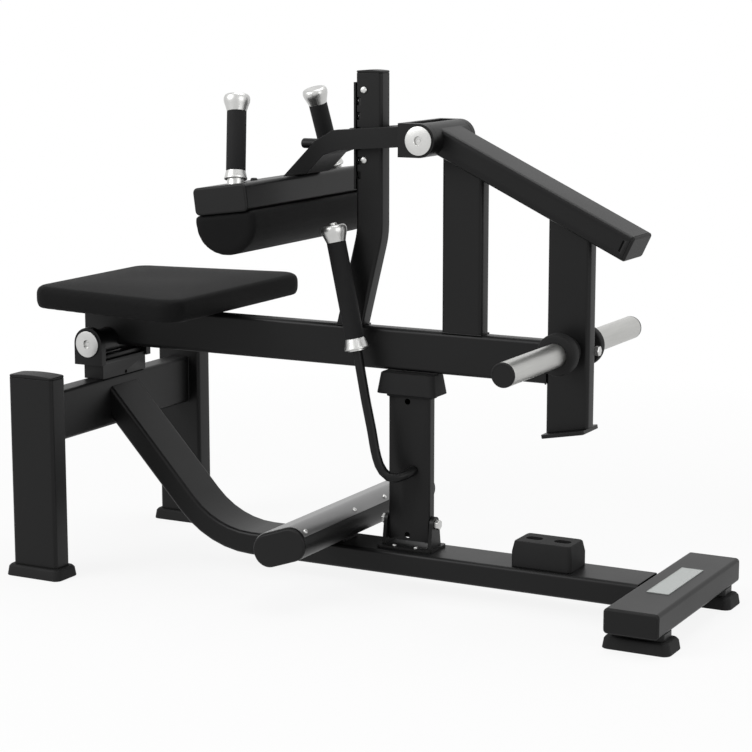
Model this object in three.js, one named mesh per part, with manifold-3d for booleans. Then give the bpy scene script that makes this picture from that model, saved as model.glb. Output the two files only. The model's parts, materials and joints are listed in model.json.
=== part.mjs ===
// Seated calf raise machine. Millimetres, Z up, +X from the seat towards the weight horns.
import * as THREE from 'three';
import { mergeVertices } from 'three/addons/utils/BufferGeometryUtils.js';
import Module from 'manifold-3d';

const wasm = await Module();
wasm.setup();

// Shared fits
const clearance = 0.3;
const cutOverrun = 6;
const tubeWall = 3;
const capThickness = 6;

// Floor frame tube
const frameTubeWidth = 112;
const frameTubeHeight = 50;
const frameTubeCorner = 8;

// Rubber feet under the posts and the cross-foot
const footHeight = 24;
const footFlare = 14;
const footShoulder = 11;
const footNeck = 7;
const footSkirt = 19;

// Rear posts and the tube between them
const rearPostSpacing = 572;
const rearPostTop = 432;
const postCapRim = 5;
const postCapRise = 3;
const crossTubeSetback = 28;
const crossTubeDepth = 50;
const crossTubeHeight = 108;
const crossTubeTop = 396;

// Spine on the floor
const spineTop = 87;
const spineSlope = THREE.MathUtils.degToRad(47.1);
const spineCornerX = 343;
const spineBendRadius = 220;

// Front cross-foot
const frontFootFront = 1443;
const frontFootLength = 474;
const frontRubberSpacing = 352;
const riserInset = 2;

// Foot bar
const footBarX = 653;
const footBarZ = 134;
const footBarTilt = THREE.MathUtils.degToRad(19);
const footBarWidth = 123;
const footBarHeight = 69;
const footBarCorner = 34;
const footBarLength = 594;
const treadThickness = 2;
const treadMargin = 3;
const treadDrop = 8;
const saddleLength = 56;
const saddleWidth = 60;
const saddleSetback = 22;

// Bump stop
const bumpX = 1116;
const bumpLength = 132;
const bumpWidth = 84;
const bumpTop = 140;
const bumpTaper = 4;
const bumpShoulder = 30;
const bumpCorner = 9;
const bumpEdge = 2;
const recessSpacing = 62;
const recessLength = 36;
const recessWidth = 22;
const recessDepth = 9;

// Prop bracket and hinge bolt
const propX = 803;
const propHingeZ = 142;
const propPostDepth = 96;
const propPostWidth = 28;
const propPostCorner = 6;
const propPostBottom = 104;
const propPostInCap = 34;
const propPlateThickness = 6;
const propPlateWidth = 76;
const propPlateMargin = 6;
const propEarThickness = 8;
const propEarRadius = 16;
const propEarBase = 48;
const hingeBoltRadius = 6;
const hingeNutRadius = 11;
const hingeNutHeight = 9;

// Prop cap
const propCapTopLength = 124;
const propCapTopWidth = 58;
const propCapGap = 3.2;
const propCapRimFlare = 6;
const propCapHeight = 52;
const propCapRimLow = 8;
const propCapLip = 9;
const propCapLipHeight = 5;
const propCapEdge = 2;
const propCapCorner = 12;

// Prop handle
const propRodRadius = 10;
const propRodAhead = 12;
const propRodStartZ = 256;
const propRodOut = 60;
const propHandleBack = 97;
const propHandleZ = 510;
const propHandleLean = 45;
const propHandleRun = 206;
const propGripLength = 205;
const propFerruleRadius = 26;

// Main pivot
const pivotSetback = 30;
const pivotRise = 79;
const pivotBlockHeight = 40;
const earFoot = 32;
const earRadius = 36;
const earOuter = 96;
const earThickness = 17;
const earWeld = 4;
const axleRadius = 15;
const axleRecess = 2;
const discRadius = 29;
const discThickness = 3.5;
const discEdge = 1;
const socketRadius = 10;
const socketDepth = 6;
const hubRadius = 27;

// Lever beam and its two posts
const beamRear = -7;
const beamBelowPivot = 11;
const beamHeight = 88;
const leverTubeWidth = 38;
const leverTubeCorner = 9;
const leverPostDepth = 91;
const rearLeverPostX = 924;
const frontLeverPostX = 1158;

// Head beam and head hub
const headPivotX = 865;
const headPivotZ = 946;
const headBeamSlope = THREE.MathUtils.degToRad(25.4);
const headBeamWidth = 100;
const headBeamHeight = 53;
const headBeamCorner = 8;
const headBeamRise = 5;
const headBeamReach = 475;
const headHubRadius = 34;

// Strike plate
const strikeZ = 369;
const strikeTilt = THREE.MathUtils.degToRad(10.5);
const strikeLength = 93;
const strikeWidth = 82;
const strikeCorner = 6;
const strikeThickness = 8;

// Upright with its hole plate
const uprightDepth = 60;
const uprightWidth = 40;
const uprightCorner = 7;
const uprightFrontX = 742;
const uprightTop = 1074;
const uprightBendZ = 745;
const uprightBendRadius = 160;
const uprightLean = THREE.MathUtils.degToRad(13.8);
const uprightCapRim = 4;
const uprightCapRise = 2;
const holePlateThickness = 5;
const holePlateTop = 1055;
const holePlateWidth = 38;
const holePlateMargin = 28;
const holePitch = 30.5;
const holesAbovePin = 3;
const holesBelowPin = 2;
const holeRadius = 7;
const slotHeight = 16;
const slotDepth = 11;

// Seat
const seatRear = -12;
const seatLength = 406;
const seatRearWidth = 410;
const seatFrontWidth = 528;
const seatCorner = 38;
const seatBoardThickness = 13;
const seatBoardInset = 72;
const seatPadHeight = 55;
const seatCrown = 7;
const seatEdgeRound = 14;
const seatDrawIn = 3;

// Weight horns
const hornZ = 535.2;
const hornSpan = 654;
const hornRadius = 24.15;
const hornBarRadius = 20;
const hornCapThickness = 5;
const collarRadius = 42.5;
const collarThickness = 20;
const collarOuter = 82;
const stubRadius = 30;
const collarEdge = 3;
const sleeveSeat = 4;

// Pad arm
const armInner = 25;
const armOuter = 50;
const armHeight = 42;
const clevisRadius = 34;
const clevisRear = 47;
const clevisWall = 10.5;
const armSlope = THREE.MathUtils.degToRad(4.35);
const armStartRise = 4.9;
const armBendX = 650;
const stemShoulderX = 612;
const stemShoulderZ = 920;
const stemFootX = 545;
const stemFootZ = 853;
const stemThickness = 35;
const forkFloorX = 640;

// Pad housing, knee pad
const housingX = 506;
const housingZ = 827.5;
const housingPitch = THREE.MathUtils.degToRad(7.5);
const housingDepth = 124;
const housingHeight = 56;
const housingCorner = 10;
const housingLength = 536;
const kneePadWidth = 137;
const kneePadDepth = 84;
const kneePadEdge = 8;
const kneePadSide = 22;
const kneePadMargin = 6;

// Handles on the housing
const handleInset = 63;
const handleLeanBack = 16.3;
const handleLeanIn = 33.2;
const handleRun = 125;
const shaftRadius = 12;
const ferruleRadius = 23.5;
const ferruleLength = 26;
const ferruleNeck = 8;
const ferruleLip = 3;
const ferruleStep = 6;
const gripRadius = 20;
const gripLength = 122;
const gripEdge = 2;
const knobRadius = 27;
const knobLength = 35;
const knobShares = [[0.74, 0], [0.78, 0.25], [1, 0.52], [1, 0.7], [0.84, 0.9], [0.5, 1], [0, 1]];

// Pull pin
const pinZ = 925.2;
const pinBarRadius = 10.5;
const pinBarRound = 6;
const pinBarRear = 545;
const pinBarFront = 634;
const pinRadius = 5;
const pinTipX = 669;
const pinEdge = 2;

// Facets
const cornerSteps = 2;
const roundSteps = 24;
const smallRoundSteps = 16;
const bendSteps = 6;
const pathSteps = 22;
const rodSides = 5;
const padRings = 4;
const hexSides = 6;

const material = (color, roughness, metalness) => new THREE.MeshStandardMaterial({ color, roughness, metalness });
const blackPaint = material(0x26282b, 0.55, 0.3);
const blackPlastic = material(0x1d1e20, 0.6, 0);
const rubber = material(0x202124, 0.85, 0);
const leather = material(0x2c2d30, 0.6, 0);
const steel = material(0xc9cacb, 0.32, 1);
const brushed = material(0x9c9fa2, 0.4, 1);

const axisY = new THREE.Vector3(0, 1, 0);
const axisZ = new THREE.Vector3(0, 0, 1);
const quarterTurn = Math.PI / 2;

// Closed shape of a rectangle with round corners, about its middle
const roundedRect = (width, height, corner) => {
  const x = width / 2 - corner;
  const y = height / 2 - corner;
  const shape = new THREE.Shape();
  shape.absarc(x, y, corner, 0, quarterTurn);
  shape.absarc(-x, y, corner, quarterTurn, Math.PI);
  shape.absarc(-x, -y, corner, Math.PI, Math.PI + quarterTurn);
  shape.absarc(x, -y, corner, Math.PI + quarterTurn, 2 * Math.PI);
  return shape;
};

// Tube section: the outer shape with the bore as its hole
const tubeSection = (width, height, corner) => {
  const shape = roundedRect(width, height, corner);
  const inner = corner - tubeWall;
  shape.holes.push(roundedRect(width - 2 * tubeWall, height - 2 * tubeWall, inner));
  return shape;
};

const extrude = (shape, depth, curveSegments = cornerSteps) => (
  new THREE.ExtrudeGeometry(shape, { depth, bevelEnabled: false, curveSegments })
);

// A straight piece in the middle plane: the section's x lies along Y, its length runs from start to end
const barBetween = (shape, start, end, curveSegments = cornerSteps) => {
  const run = end.clone().sub(start);
  const direction = run.clone().normalize();
  const basis = new THREE.Matrix4().makeBasis(axisY, direction.clone().cross(axisY), direction);
  return extrude(shape, run.length(), curveSegments).applyMatrix4(basis.setPosition(start));
};

// A side outline drawn in X and Z, given a width across Y about the middle plane
const acrossY = (shape, width, curveSegments = cornerSteps) => (
  extrude(shape, width, curveSegments).translate(0, 0, -width / 2).rotateX(quarterTurn)
);

const inPlane = (x, z) => new THREE.Vector3(x, 0, z);

const box = (lowX, highX, lowY, highY, lowZ, highZ) => (
  new THREE.BoxGeometry(highX - lowX, highY - lowY, highZ - lowZ)
    .translate((lowX + highX) / 2, (lowY + highY) / 2, (lowZ + highZ) / 2)
);

const cylinderY = (radius, lowY, highY, x, z, steps = roundSteps) => (
  new THREE.CylinderGeometry(radius, radius, highY - lowY, steps).translate(x, (lowY + highY) / 2, z)
);

const cylinderX = (radius, lowX, highX, z, steps = smallRoundSteps) => (
  new THREE.CylinderGeometry(radius, radius, highX - lowX, steps)
    .rotateZ(-quarterTurn).translate((lowX + highX) / 2, 0, z)
);

// Turned piece about Z from pairs of radius and height
const turned = (profile, steps = roundSteps) => (
  new THREE.LatheGeometry(profile.map(([radius, height]) => new THREE.Vector2(radius, height)), steps)
    .rotateX(quarterTurn)
);

const solid = (geometry) => {
  const bare = geometry.clone();
  bare.deleteAttribute('normal');
  bare.deleteAttribute('uv');
  const merged = mergeVertices(bare);
  return new wasm.Manifold(new wasm.Mesh({
    numProp: 3,
    vertProperties: new Float32Array(merged.attributes.position.array),
    triVerts: new Uint32Array(merged.index.array),
  }));
};

const geometryOf = (manifold) => {
  const mesh = manifold.getMesh();
  const geometry = new THREE.BufferGeometry();
  geometry.setAttribute('position', new THREE.BufferAttribute(mesh.vertProperties, 3));
  geometry.setIndex(new THREE.BufferAttribute(mesh.triVerts, 1));
  geometry.computeVertexNormals();
  return geometry;
};

const joined = (geometries) => geometries.map(solid).reduce((sum, item) => sum.add(item));
const cut = (body, cutters) => cutters.map(solid).reduce((rest, item) => rest.subtract(item), body);

// Closed skin over rings that all hold the same number of points, each ring convex
const loft = (rings) => {
  const count = rings[0].length;
  const positions = rings.flat().flatMap((point) => [point.x, point.y, point.z]);
  const index = [];
  rings.slice(1).forEach((_, level) => {
    for (let i = 0; i < count; i += 1) {
      const next = (i + 1) % count;
      const low = level * count;
      const high = low + count;
      index.push(low + i, low + next, high + next, low + i, high + next, high + i);
    }
  });
  const last = (rings.length - 1) * count;
  for (let i = 1; i < count - 1; i += 1) {
    index.push(0, i + 1, i);
    index.push(last, last + i, last + i + 1);
  }
  const geometry = new THREE.BufferGeometry();
  geometry.setAttribute('position', new THREE.Float32BufferAttribute(positions, 3));
  geometry.setIndex(index);
  geometry.computeVertexNormals();
  return geometry;
};

const flatRing = (width, height, corner, z) => (
  roundedRect(width, height, corner).getPoints(cornerSteps).map((point) => new THREE.Vector3(point.x, point.y, z))
);

const machine = new THREE.Group();
const base = new THREE.Group();
const lever = new THREE.Group();
const padArm = new THREE.Group();
const pin = new THREE.Group();
const prop = new THREE.Group();
machine.add(base, lever, prop);
lever.add(padArm);
padArm.add(pin);

const add = (group, name, geometry, look) => {
  const mesh = new THREE.Mesh(geometry, look);
  mesh.name = name;
  group.add(mesh);
  return mesh;
};

const sides = [['right', -1], ['left', 1]];

// Rubber foot with a flared skirt, its top at footHeight
const rubberFoot = () => {
  const level = (flare, z) => (
    flatRing(frameTubeWidth + 2 * flare, frameTubeHeight + 2 * flare, frameTubeCorner + flare / 2, z)
  );
  return loft([level(footFlare, 0), level(footShoulder, footSkirt), level(footNeck, footHeight)]);
};

// Plug with a straight rim and a slightly arched top for an upright tube
const archedCap = (width, height, corner, rim, rise) => {
  const arch = new THREE.Shape();
  const reach = width / 2 + clearance;
  const radius = (reach * reach + rise * rise) / (2 * rise);
  const half = Math.asin(reach / radius);
  arch.moveTo(reach, -cutOverrun);
  arch.lineTo(reach, rim);
  arch.absarc(0, rim + rise - radius, radius, quarterTurn - half, quarterTurn + half);
  arch.lineTo(-reach, -cutOverrun);
  const block = solid(extrude(roundedRect(width, height, corner), rim + rise + cutOverrun));
  return geometryOf(block.intersect(solid(acrossY(arch, height + 2 * cutOverrun, bendSteps))));
};

// Rear posts
const rearPostX = frameTubeWidth / 2;
sides.forEach(([side, sign]) => {
  const y = (sign * rearPostSpacing) / 2;
  const postHeight = rearPostTop - footHeight - clearance;
  const section = tubeSection(frameTubeWidth, frameTubeHeight, frameTubeCorner);
  const post = add(base, `rear_post_${side}`, extrude(section, postHeight), blackPaint);
  post.position.set(rearPostX, y, footHeight + clearance);
  const cap = archedCap(frameTubeWidth, frameTubeHeight, frameTubeCorner, postCapRim, postCapRise);
  add(base, `rear_post_cap_${side}`, cap, blackPlastic).position.set(rearPostX, y, rearPostTop + clearance);
  add(base, `rear_foot_${side}`, rubberFoot(), rubber).position.set(rearPostX, y, 0);
});

// Cross tube between the rear posts
const crossTubeFront = frameTubeWidth - crossTubeSetback;
const crossTubeX = crossTubeFront - crossTubeDepth / 2;
const crossTubeZ = crossTubeTop - crossTubeHeight / 2;
const crossTubeLength = rearPostSpacing - frameTubeHeight - 2 * clearance;
const crossTubeSection = tubeSection(crossTubeDepth, crossTubeHeight, frameTubeCorner);
const crossTube = add(base, 'rear_cross_tube', acrossY(crossTubeSection, crossTubeLength), blackPaint);
crossTube.position.set(crossTubeX, 0, crossTubeZ);

// Spine: down the slope, round the bend and along the floor
const spineZ = spineTop - frameTubeHeight / 2;
const frontFootRear = frontFootFront - frameTubeWidth;
const spineEnd = frontFootRear - clearance;
const spineTangent = spineBendRadius * Math.tan(spineSlope / 2);
const bendCentreX = spineCornerX + spineTangent;
const spineStations = () => {
  const stations = [];
  const slopeStartX = -cutOverrun;
  const cornerRise = (spineCornerX - slopeStartX) * Math.tan(spineSlope);
  stations.push({ x: slopeStartX, z: spineZ + cornerRise, angle: spineSlope });
  for (let i = 0; i <= bendSteps; i += 1) {
    const angle = spineSlope * (1 - i / bendSteps);
    stations.push({
      x: bendCentreX - spineBendRadius * Math.sin(angle),
      z: spineZ + spineBendRadius * (1 - Math.cos(angle)),
      angle,
    });
  }
  return stations;
};
const spineSkin = (width, height, corner, end) => {
  const stations = [...spineStations(), { x: end, z: spineZ, angle: 0 }];
  return loft(stations.map(({ x, z, angle }) => flatRing(width, height, corner, 0).map((point) => (
    new THREE.Vector3(x + point.y * Math.sin(angle), point.x, z + point.y * Math.cos(angle))
  ))));
};
const spineBore = spineSkin(
  frameTubeWidth - 2 * tubeWall,
  frameTubeHeight - 2 * tubeWall,
  frameTubeCorner - tubeWall,
  spineEnd + cutOverrun,
);
const spineRearCut = box(
  -frameTubeWidth,
  crossTubeFront + clearance,
  -frameTubeWidth,
  frameTubeWidth,
  0,
  2 * crossTubeTop,
);
const spine = cut(solid(spineSkin(frameTubeWidth, frameTubeHeight, frameTubeCorner, spineEnd)), [
  spineBore,
  spineRearCut,
]);
add(base, 'spine_tube', geometryOf(spine), blackPaint);

// Front cross-foot with its two short stubs
const frontFootX = frontFootFront - frameTubeWidth / 2;
const frontTubeLength = frontFootLength - 2 * capThickness - 2 * clearance;
const spineBottom = spineTop - frameTubeHeight;
const frontTube = acrossY(tubeSection(frameTubeWidth, frameTubeHeight, frameTubeCorner), frontTubeLength)
  .translate(frontFootX, 0, spineZ);
const riserTop = spineBottom + tubeWall / 2;
const risers = sides.map(([, sign]) => (
  extrude(
    roundedRect(frameTubeWidth - 2 * riserInset, frameTubeHeight, frameTubeCorner),
    riserTop - footHeight - clearance,
  ).translate(frontFootX, (sign * frontRubberSpacing) / 2, footHeight + clearance)
));
add(base, 'front_cross_foot', geometryOf(joined([frontTube, ...risers])), blackPaint);

// Domed plug for the end of a tube that lies along Y, its inner face at y = 0
const endPlug = (width, height, corner, thickness) => {
  const rings = [
    flatRing(width, height, corner, 0),
    flatRing(width, height, corner, thickness / 2),
    flatRing(width - thickness, height - thickness, corner - thickness / 2, thickness),
  ];
  return loft(rings).rotateX(-quarterTurn);
};
sides.forEach(([side, sign]) => {
  const plug = add(
    base,
    `front_foot_cap_${side}`,
    endPlug(frameTubeWidth, frameTubeHeight, frameTubeCorner, capThickness),
    blackPlastic,
  );
  plug.position.set(frontFootX, sign * (frontFootLength / 2 - capThickness), spineZ);
  plug.rotation.z = sign < 0 ? Math.PI : 0;
  const foot = add(base, `front_foot_${side}`, rubberFoot(), rubber);
  foot.position.set(frontFootX, (sign * frontRubberSpacing) / 2, 0);
});

// Foot bar: oval tube, tread sheet over its top, plugs and saddle, all in one tilted group
const footBar = new THREE.Group();
footBar.position.set(footBarX, 0, footBarZ);
footBar.rotation.y = -footBarTilt;
base.add(footBar);
const footTubeLength = footBarLength - 2 * capThickness - 2 * clearance;
const footSection = tubeSection(footBarWidth, footBarHeight, footBarCorner);
add(footBar, 'foot_bar_tube', acrossY(footSection, footTubeLength, bendSteps), blackPaint);
const ovalSkin = (offset, length) => acrossY(
  roundedRect(footBarWidth + 2 * offset, footBarHeight + 2 * offset, footBarCorner + offset),
  length,
  bendSteps,
);
const treadLength = footTubeLength - 2 * treadMargin;
const belowTread = box(-footBarWidth, footBarWidth, -footBarLength, footBarLength, -footBarWidth, treadDrop);
const tread = cut(solid(ovalSkin(clearance + treadThickness, treadLength)), [
  ovalSkin(clearance, footBarLength),
  belowTread,
]);
add(footBar, 'foot_bar_tread', geometryOf(tread), brushed);
sides.forEach(([side, sign]) => {
  const rings = [
    [0, 0],
    [0, capThickness / 2],
    [-capThickness / 2, capThickness],
  ].map(([offset, z]) => (
    roundedRect(footBarWidth + 2 * offset, footBarHeight + 2 * offset, footBarCorner + offset)
      .getPoints(bendSteps).map((point) => new THREE.Vector3(point.x, point.y, z))
  ));
  const plug = add(footBar, `foot_bar_cap_${side}`, loft(rings).rotateX(-quarterTurn), blackPlastic);
  plug.position.y = sign * (footBarLength / 2 - capThickness);
  plug.rotation.z = sign < 0 ? Math.PI : 0;
});
const saddleBlock = extrude(
  roundedRect(saddleLength, saddleWidth, frameTubeCorner),
  footBarZ - footBarHeight / 4 - spineTop,
).translate(footBarX - saddleSetback, 0, spineTop + clearance);
const saddleCut = ovalSkin(clearance, footBarLength).rotateY(-footBarTilt).translate(footBarX, 0, footBarZ);
add(base, 'foot_bar_saddle', geometryOf(cut(solid(saddleBlock), [saddleCut])), blackPaint);

// Bump stop with two oval recesses
const bumpLevel = (inset, z) => flatRing(bumpLength - 2 * inset, bumpWidth - 2 * inset, bumpCorner, z);
const bumpBody = loft([
  bumpLevel(0, spineTop + clearance),
  bumpLevel(0, spineTop + bumpShoulder),
  bumpLevel(bumpTaper, bumpTop - bumpEdge),
  bumpLevel(bumpTaper + bumpEdge, bumpTop),
]).translate(bumpX, 0, 0);
const recesses = [-1, 1].map((sign) => (
  extrude(roundedRect(recessLength, recessWidth, recessWidth / 2 - clearance), recessDepth + cutOverrun)
    .translate(bumpX + (sign * recessSpacing) / 2, 0, bumpTop - recessDepth)
));
add(base, 'bump_stop', geometryOf(cut(solid(bumpBody), recesses)), rubber);

// Prop bracket: plate on the spine with an ear before and behind the prop
const earGap = propPostDepth / 2 + clearance * 4;
const plateTop = spineTop + clearance + propPlateThickness;
const plateHalf = earGap + propEarThickness + propPlateMargin;
const bracketPlate = extrude(roundedRect(2 * plateHalf, propPlateWidth, propPostCorner), propPlateThickness)
  .translate(propX, 0, spineTop + clearance);
const earShape = new THREE.Shape();
earShape.moveTo(-propEarBase / 2, plateTop - propPlateThickness / 2);
earShape.lineTo(propEarBase / 2, plateTop - propPlateThickness / 2);
earShape.lineTo(propEarRadius, propHingeZ);
earShape.absarc(0, propHingeZ, propEarRadius, 0, Math.PI);
const propEars = [-1, 1].map((sign) => {
  const low = propX + (sign < 0 ? -earGap - propEarThickness : earGap);
  return barBetween(earShape, inPlane(low, 0), inPlane(low + propEarThickness, 0), bendSteps);
});
const bracketBore = cylinderX(
  hingeBoltRadius + clearance,
  propX - plateHalf - cutOverrun,
  propX + plateHalf + cutOverrun,
  propHingeZ,
);
const bracket = cut(joined([bracketPlate, ...propEars]), [bracketBore]);
add(base, 'prop_bracket', geometryOf(bracket), blackPaint);
const nutFace = earGap + propEarThickness + clearance;
const boltEnd = nutFace + hingeNutHeight;
const bolt = joined([
  cylinderX(hingeBoltRadius, propX - boltEnd, propX + boltEnd, propHingeZ),
  cylinderX(hingeNutRadius, propX - boltEnd, propX - nutFace, propHingeZ, hexSides),
  cylinderX(hingeNutRadius, propX + nutFace, propX + boltEnd, propHingeZ, hexSides),
]);
add(base, 'prop_hinge_bolt', geometryOf(bolt), steel);

// Pivot bracket on the cross tube: a block with two bearing ears
const pivotX = crossTubeFront - pivotSetback;
const pivotZ = crossTubeTop + pivotRise;
const earInner = earOuter - earThickness;
const bearingEarShape = new THREE.Shape();
bearingEarShape.moveTo(pivotX - earRadius, crossTubeTop + earFoot);
bearingEarShape.lineTo(pivotX + earRadius, crossTubeTop + earFoot);
bearingEarShape.absarc(pivotX, pivotZ, earRadius, 0, Math.PI);
const bearingEars = sides.map(([, sign]) => (
  acrossY(bearingEarShape, earThickness, bendSteps * 2).translate(0, sign * (earOuter - earThickness / 2), 0)
));
const pivotBlock = box(
  crossTubeFront - crossTubeDepth,
  crossTubeFront,
  -earInner - earWeld,
  earInner + earWeld,
  crossTubeTop + clearance,
  crossTubeTop + pivotBlockHeight,
);
const earBore = (x, z) => cylinderY(axleRadius + clearance, -earOuter - cutOverrun, earOuter + cutOverrun, x, z);
const pivotBracket = cut(joined([pivotBlock, ...bearingEars]), [earBore(pivotX, pivotZ)]);
add(base, 'pivot_bracket', geometryOf(pivotBracket), blackPaint);

// Axle: shaft with a head disc that has a round socket, and a second disc on its far end
const addAxle = (group, name, x, z) => {
  const face = earOuter + clearance;
  const end = face + discThickness;
  const head = turned([
    [0, -end],
    [discRadius - discEdge, -end],
    [discRadius, discEdge - end],
    [discRadius, -face],
    [axleRadius, -face],
    [axleRadius, end - axleRecess],
    [0, end - axleRecess],
  ]).rotateX(-quarterTurn);
  const socket = new THREE.CylinderGeometry(socketRadius, socketRadius, socketDepth + cutOverrun, smallRoundSteps)
    .translate(0, -end + (socketDepth - cutOverrun) / 2, 0);
  add(group, name, geometryOf(cut(solid(head), [socket])), steel).position.set(x, 0, z);
  const inner = axleRadius + clearance;
  const disc = turned([
    [inner, face],
    [discRadius, face],
    [discRadius, end - discEdge],
    [discRadius - discEdge, end],
    [inner, end],
    [inner, face],
  ]).rotateX(-quarterTurn);
  add(group, `${name}_disc`, disc, steel).position.set(x, 0, z);
};
addAxle(base, 'rear_axle', pivotX, pivotZ);

// Lever hub, beam and posts
const hubHalf = earInner - clearance;
const hub = turned([
  [axleRadius + clearance, -hubHalf],
  [hubRadius, -hubHalf],
  [hubRadius, hubHalf],
  [axleRadius + clearance, hubHalf],
  [axleRadius + clearance, -hubHalf],
]).rotateX(-quarterTurn);
add(lever, 'lever_hub', hub, blackPaint).position.set(pivotX, 0, pivotZ);

const beamBottom = pivotZ - beamBelowPivot;
const beamTop = beamBottom + beamHeight;
const beamZ = (beamBottom + beamTop) / 2;
const frontPostRear = frontLeverPostX - leverPostDepth / 2;
const beamEnd = frontPostRear - clearance;
const innerCorner = leverTubeCorner - tubeWall;
const beamOuter = barBetween(
  roundedRect(leverTubeWidth, beamHeight, leverTubeCorner),
  inPlane(beamRear, beamZ),
  inPlane(beamEnd, beamZ),
);
const beamBore = barBetween(
  roundedRect(leverTubeWidth - 2 * tubeWall, beamHeight - 2 * tubeWall, innerCorner),
  inPlane(beamRear + tubeWall, beamZ),
  inPlane(beamEnd + cutOverrun, beamZ),
);
const hubNotch = cylinderY(hubRadius + clearance, -earInner, earInner, pivotX, pivotZ);
add(lever, 'lever_beam', geometryOf(cut(solid(beamOuter), [beamBore, hubNotch])), blackPaint);

// Head beam: from the head hub forward and down
const headDirection = new THREE.Vector3(Math.cos(headBeamSlope), 0, -Math.sin(headBeamSlope));
const headStart = inPlane(
  headPivotX + headBeamRise * Math.sin(headBeamSlope),
  headPivotZ + headBeamRise * Math.cos(headBeamSlope),
);
const headEnd = headStart.clone().addScaledVector(headDirection, headBeamReach - capThickness - clearance);
const headOuter = barBetween(
  roundedRect(headBeamWidth, headBeamHeight, headBeamCorner),
  headStart,
  headEnd,
);
const headBore = barBetween(
  roundedRect(headBeamWidth - 2 * tubeWall, headBeamHeight - 2 * tubeWall, headBeamCorner - tubeWall),
  headStart.clone().addScaledVector(headDirection, headHubRadius),
  headEnd.clone().addScaledVector(headDirection, cutOverrun),
);
const headHub = cylinderY(headHubRadius, -hubHalf, hubHalf, headPivotX, headPivotZ);
const headBeam = cut(joined([headOuter, headHub]), [headBore, earBore(headPivotX, headPivotZ)]);
add(lever, 'head_beam', geometryOf(headBeam), blackPaint);
const headPlug = loft([
  flatRing(headBeamWidth, headBeamHeight, headBeamCorner, 0),
  flatRing(headBeamWidth, headBeamHeight, headBeamCorner, capThickness / 2),
  flatRing(
    headBeamWidth - capThickness,
    headBeamHeight - capThickness,
    headBeamCorner - capThickness / 2,
    capThickness,
  ),
]);
const headPlugBasis = new THREE.Matrix4()
  .makeBasis(axisY, headDirection.clone().cross(axisY), headDirection)
  .setPosition(headEnd.clone().addScaledVector(headDirection, clearance));
add(lever, 'head_beam_cap', headPlug.applyMatrix4(headPlugBasis), blackPlastic);

// Space that the head beam and its hub take from the tops of the two posts
const aboveHead = barBetween(
  roundedRect(2 * headBeamWidth, 8 * headBeamHeight, headBeamCorner),
  headStart.clone().addScaledVector(headDirection, -headBeamReach),
  headEnd.clone().addScaledVector(headDirection, headBeamReach),
).translate(
  (4 * headBeamHeight - headBeamHeight / 2 - clearance) * Math.sin(headBeamSlope),
  0,
  (4 * headBeamHeight - headBeamHeight / 2 - clearance) * Math.cos(headBeamSlope),
);
const hubRoom = cylinderY(headHubRadius + clearance, -headBeamWidth, headBeamWidth, headPivotX, headPivotZ);
const leverPost = (x, low) => barBetween(
  tubeSection(leverTubeWidth, leverPostDepth, leverTubeCorner),
  inPlane(x, low),
  inPlane(x, headPivotZ),
);
const rearLeverPost = cut(solid(leverPost(rearLeverPostX, beamTop + clearance)), [aboveHead, hubRoom]);
add(lever, 'rear_lever_post', geometryOf(rearLeverPost), blackPaint);

// Strike plate under the front post, and the post cut to it
const strikeGroupTurn = new THREE.Matrix4().makeRotationY(-strikeTilt).setPosition(frontLeverPostX, 0, strikeZ);
const strikeOutline = roundedRect(strikeLength, strikeWidth, strikeCorner);
const strikePlate = extrude(strikeOutline, strikeThickness, bendSteps).translate(0, 0, -strikeThickness / 2);
add(lever, 'strike_plate', strikePlate.applyMatrix4(strikeGroupTurn), blackPaint);
const belowStrike = box(
  -strikeLength,
  strikeLength,
  -strikeWidth,
  strikeWidth,
  -strikeLength,
  strikeThickness / 2 + clearance,
).applyMatrix4(strikeGroupTurn);
const hornBore = cylinderY(hornBarRadius + clearance, -earInner, earInner, frontLeverPostX, hornZ);
const frontLeverPost = cut(solid(leverPost(frontLeverPostX, strikeZ - strikeThickness * 4)), [
  aboveHead,
  belowStrike,
  hornBore,
]);
add(lever, 'front_lever_post', geometryOf(frontLeverPost), blackPaint);

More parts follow.
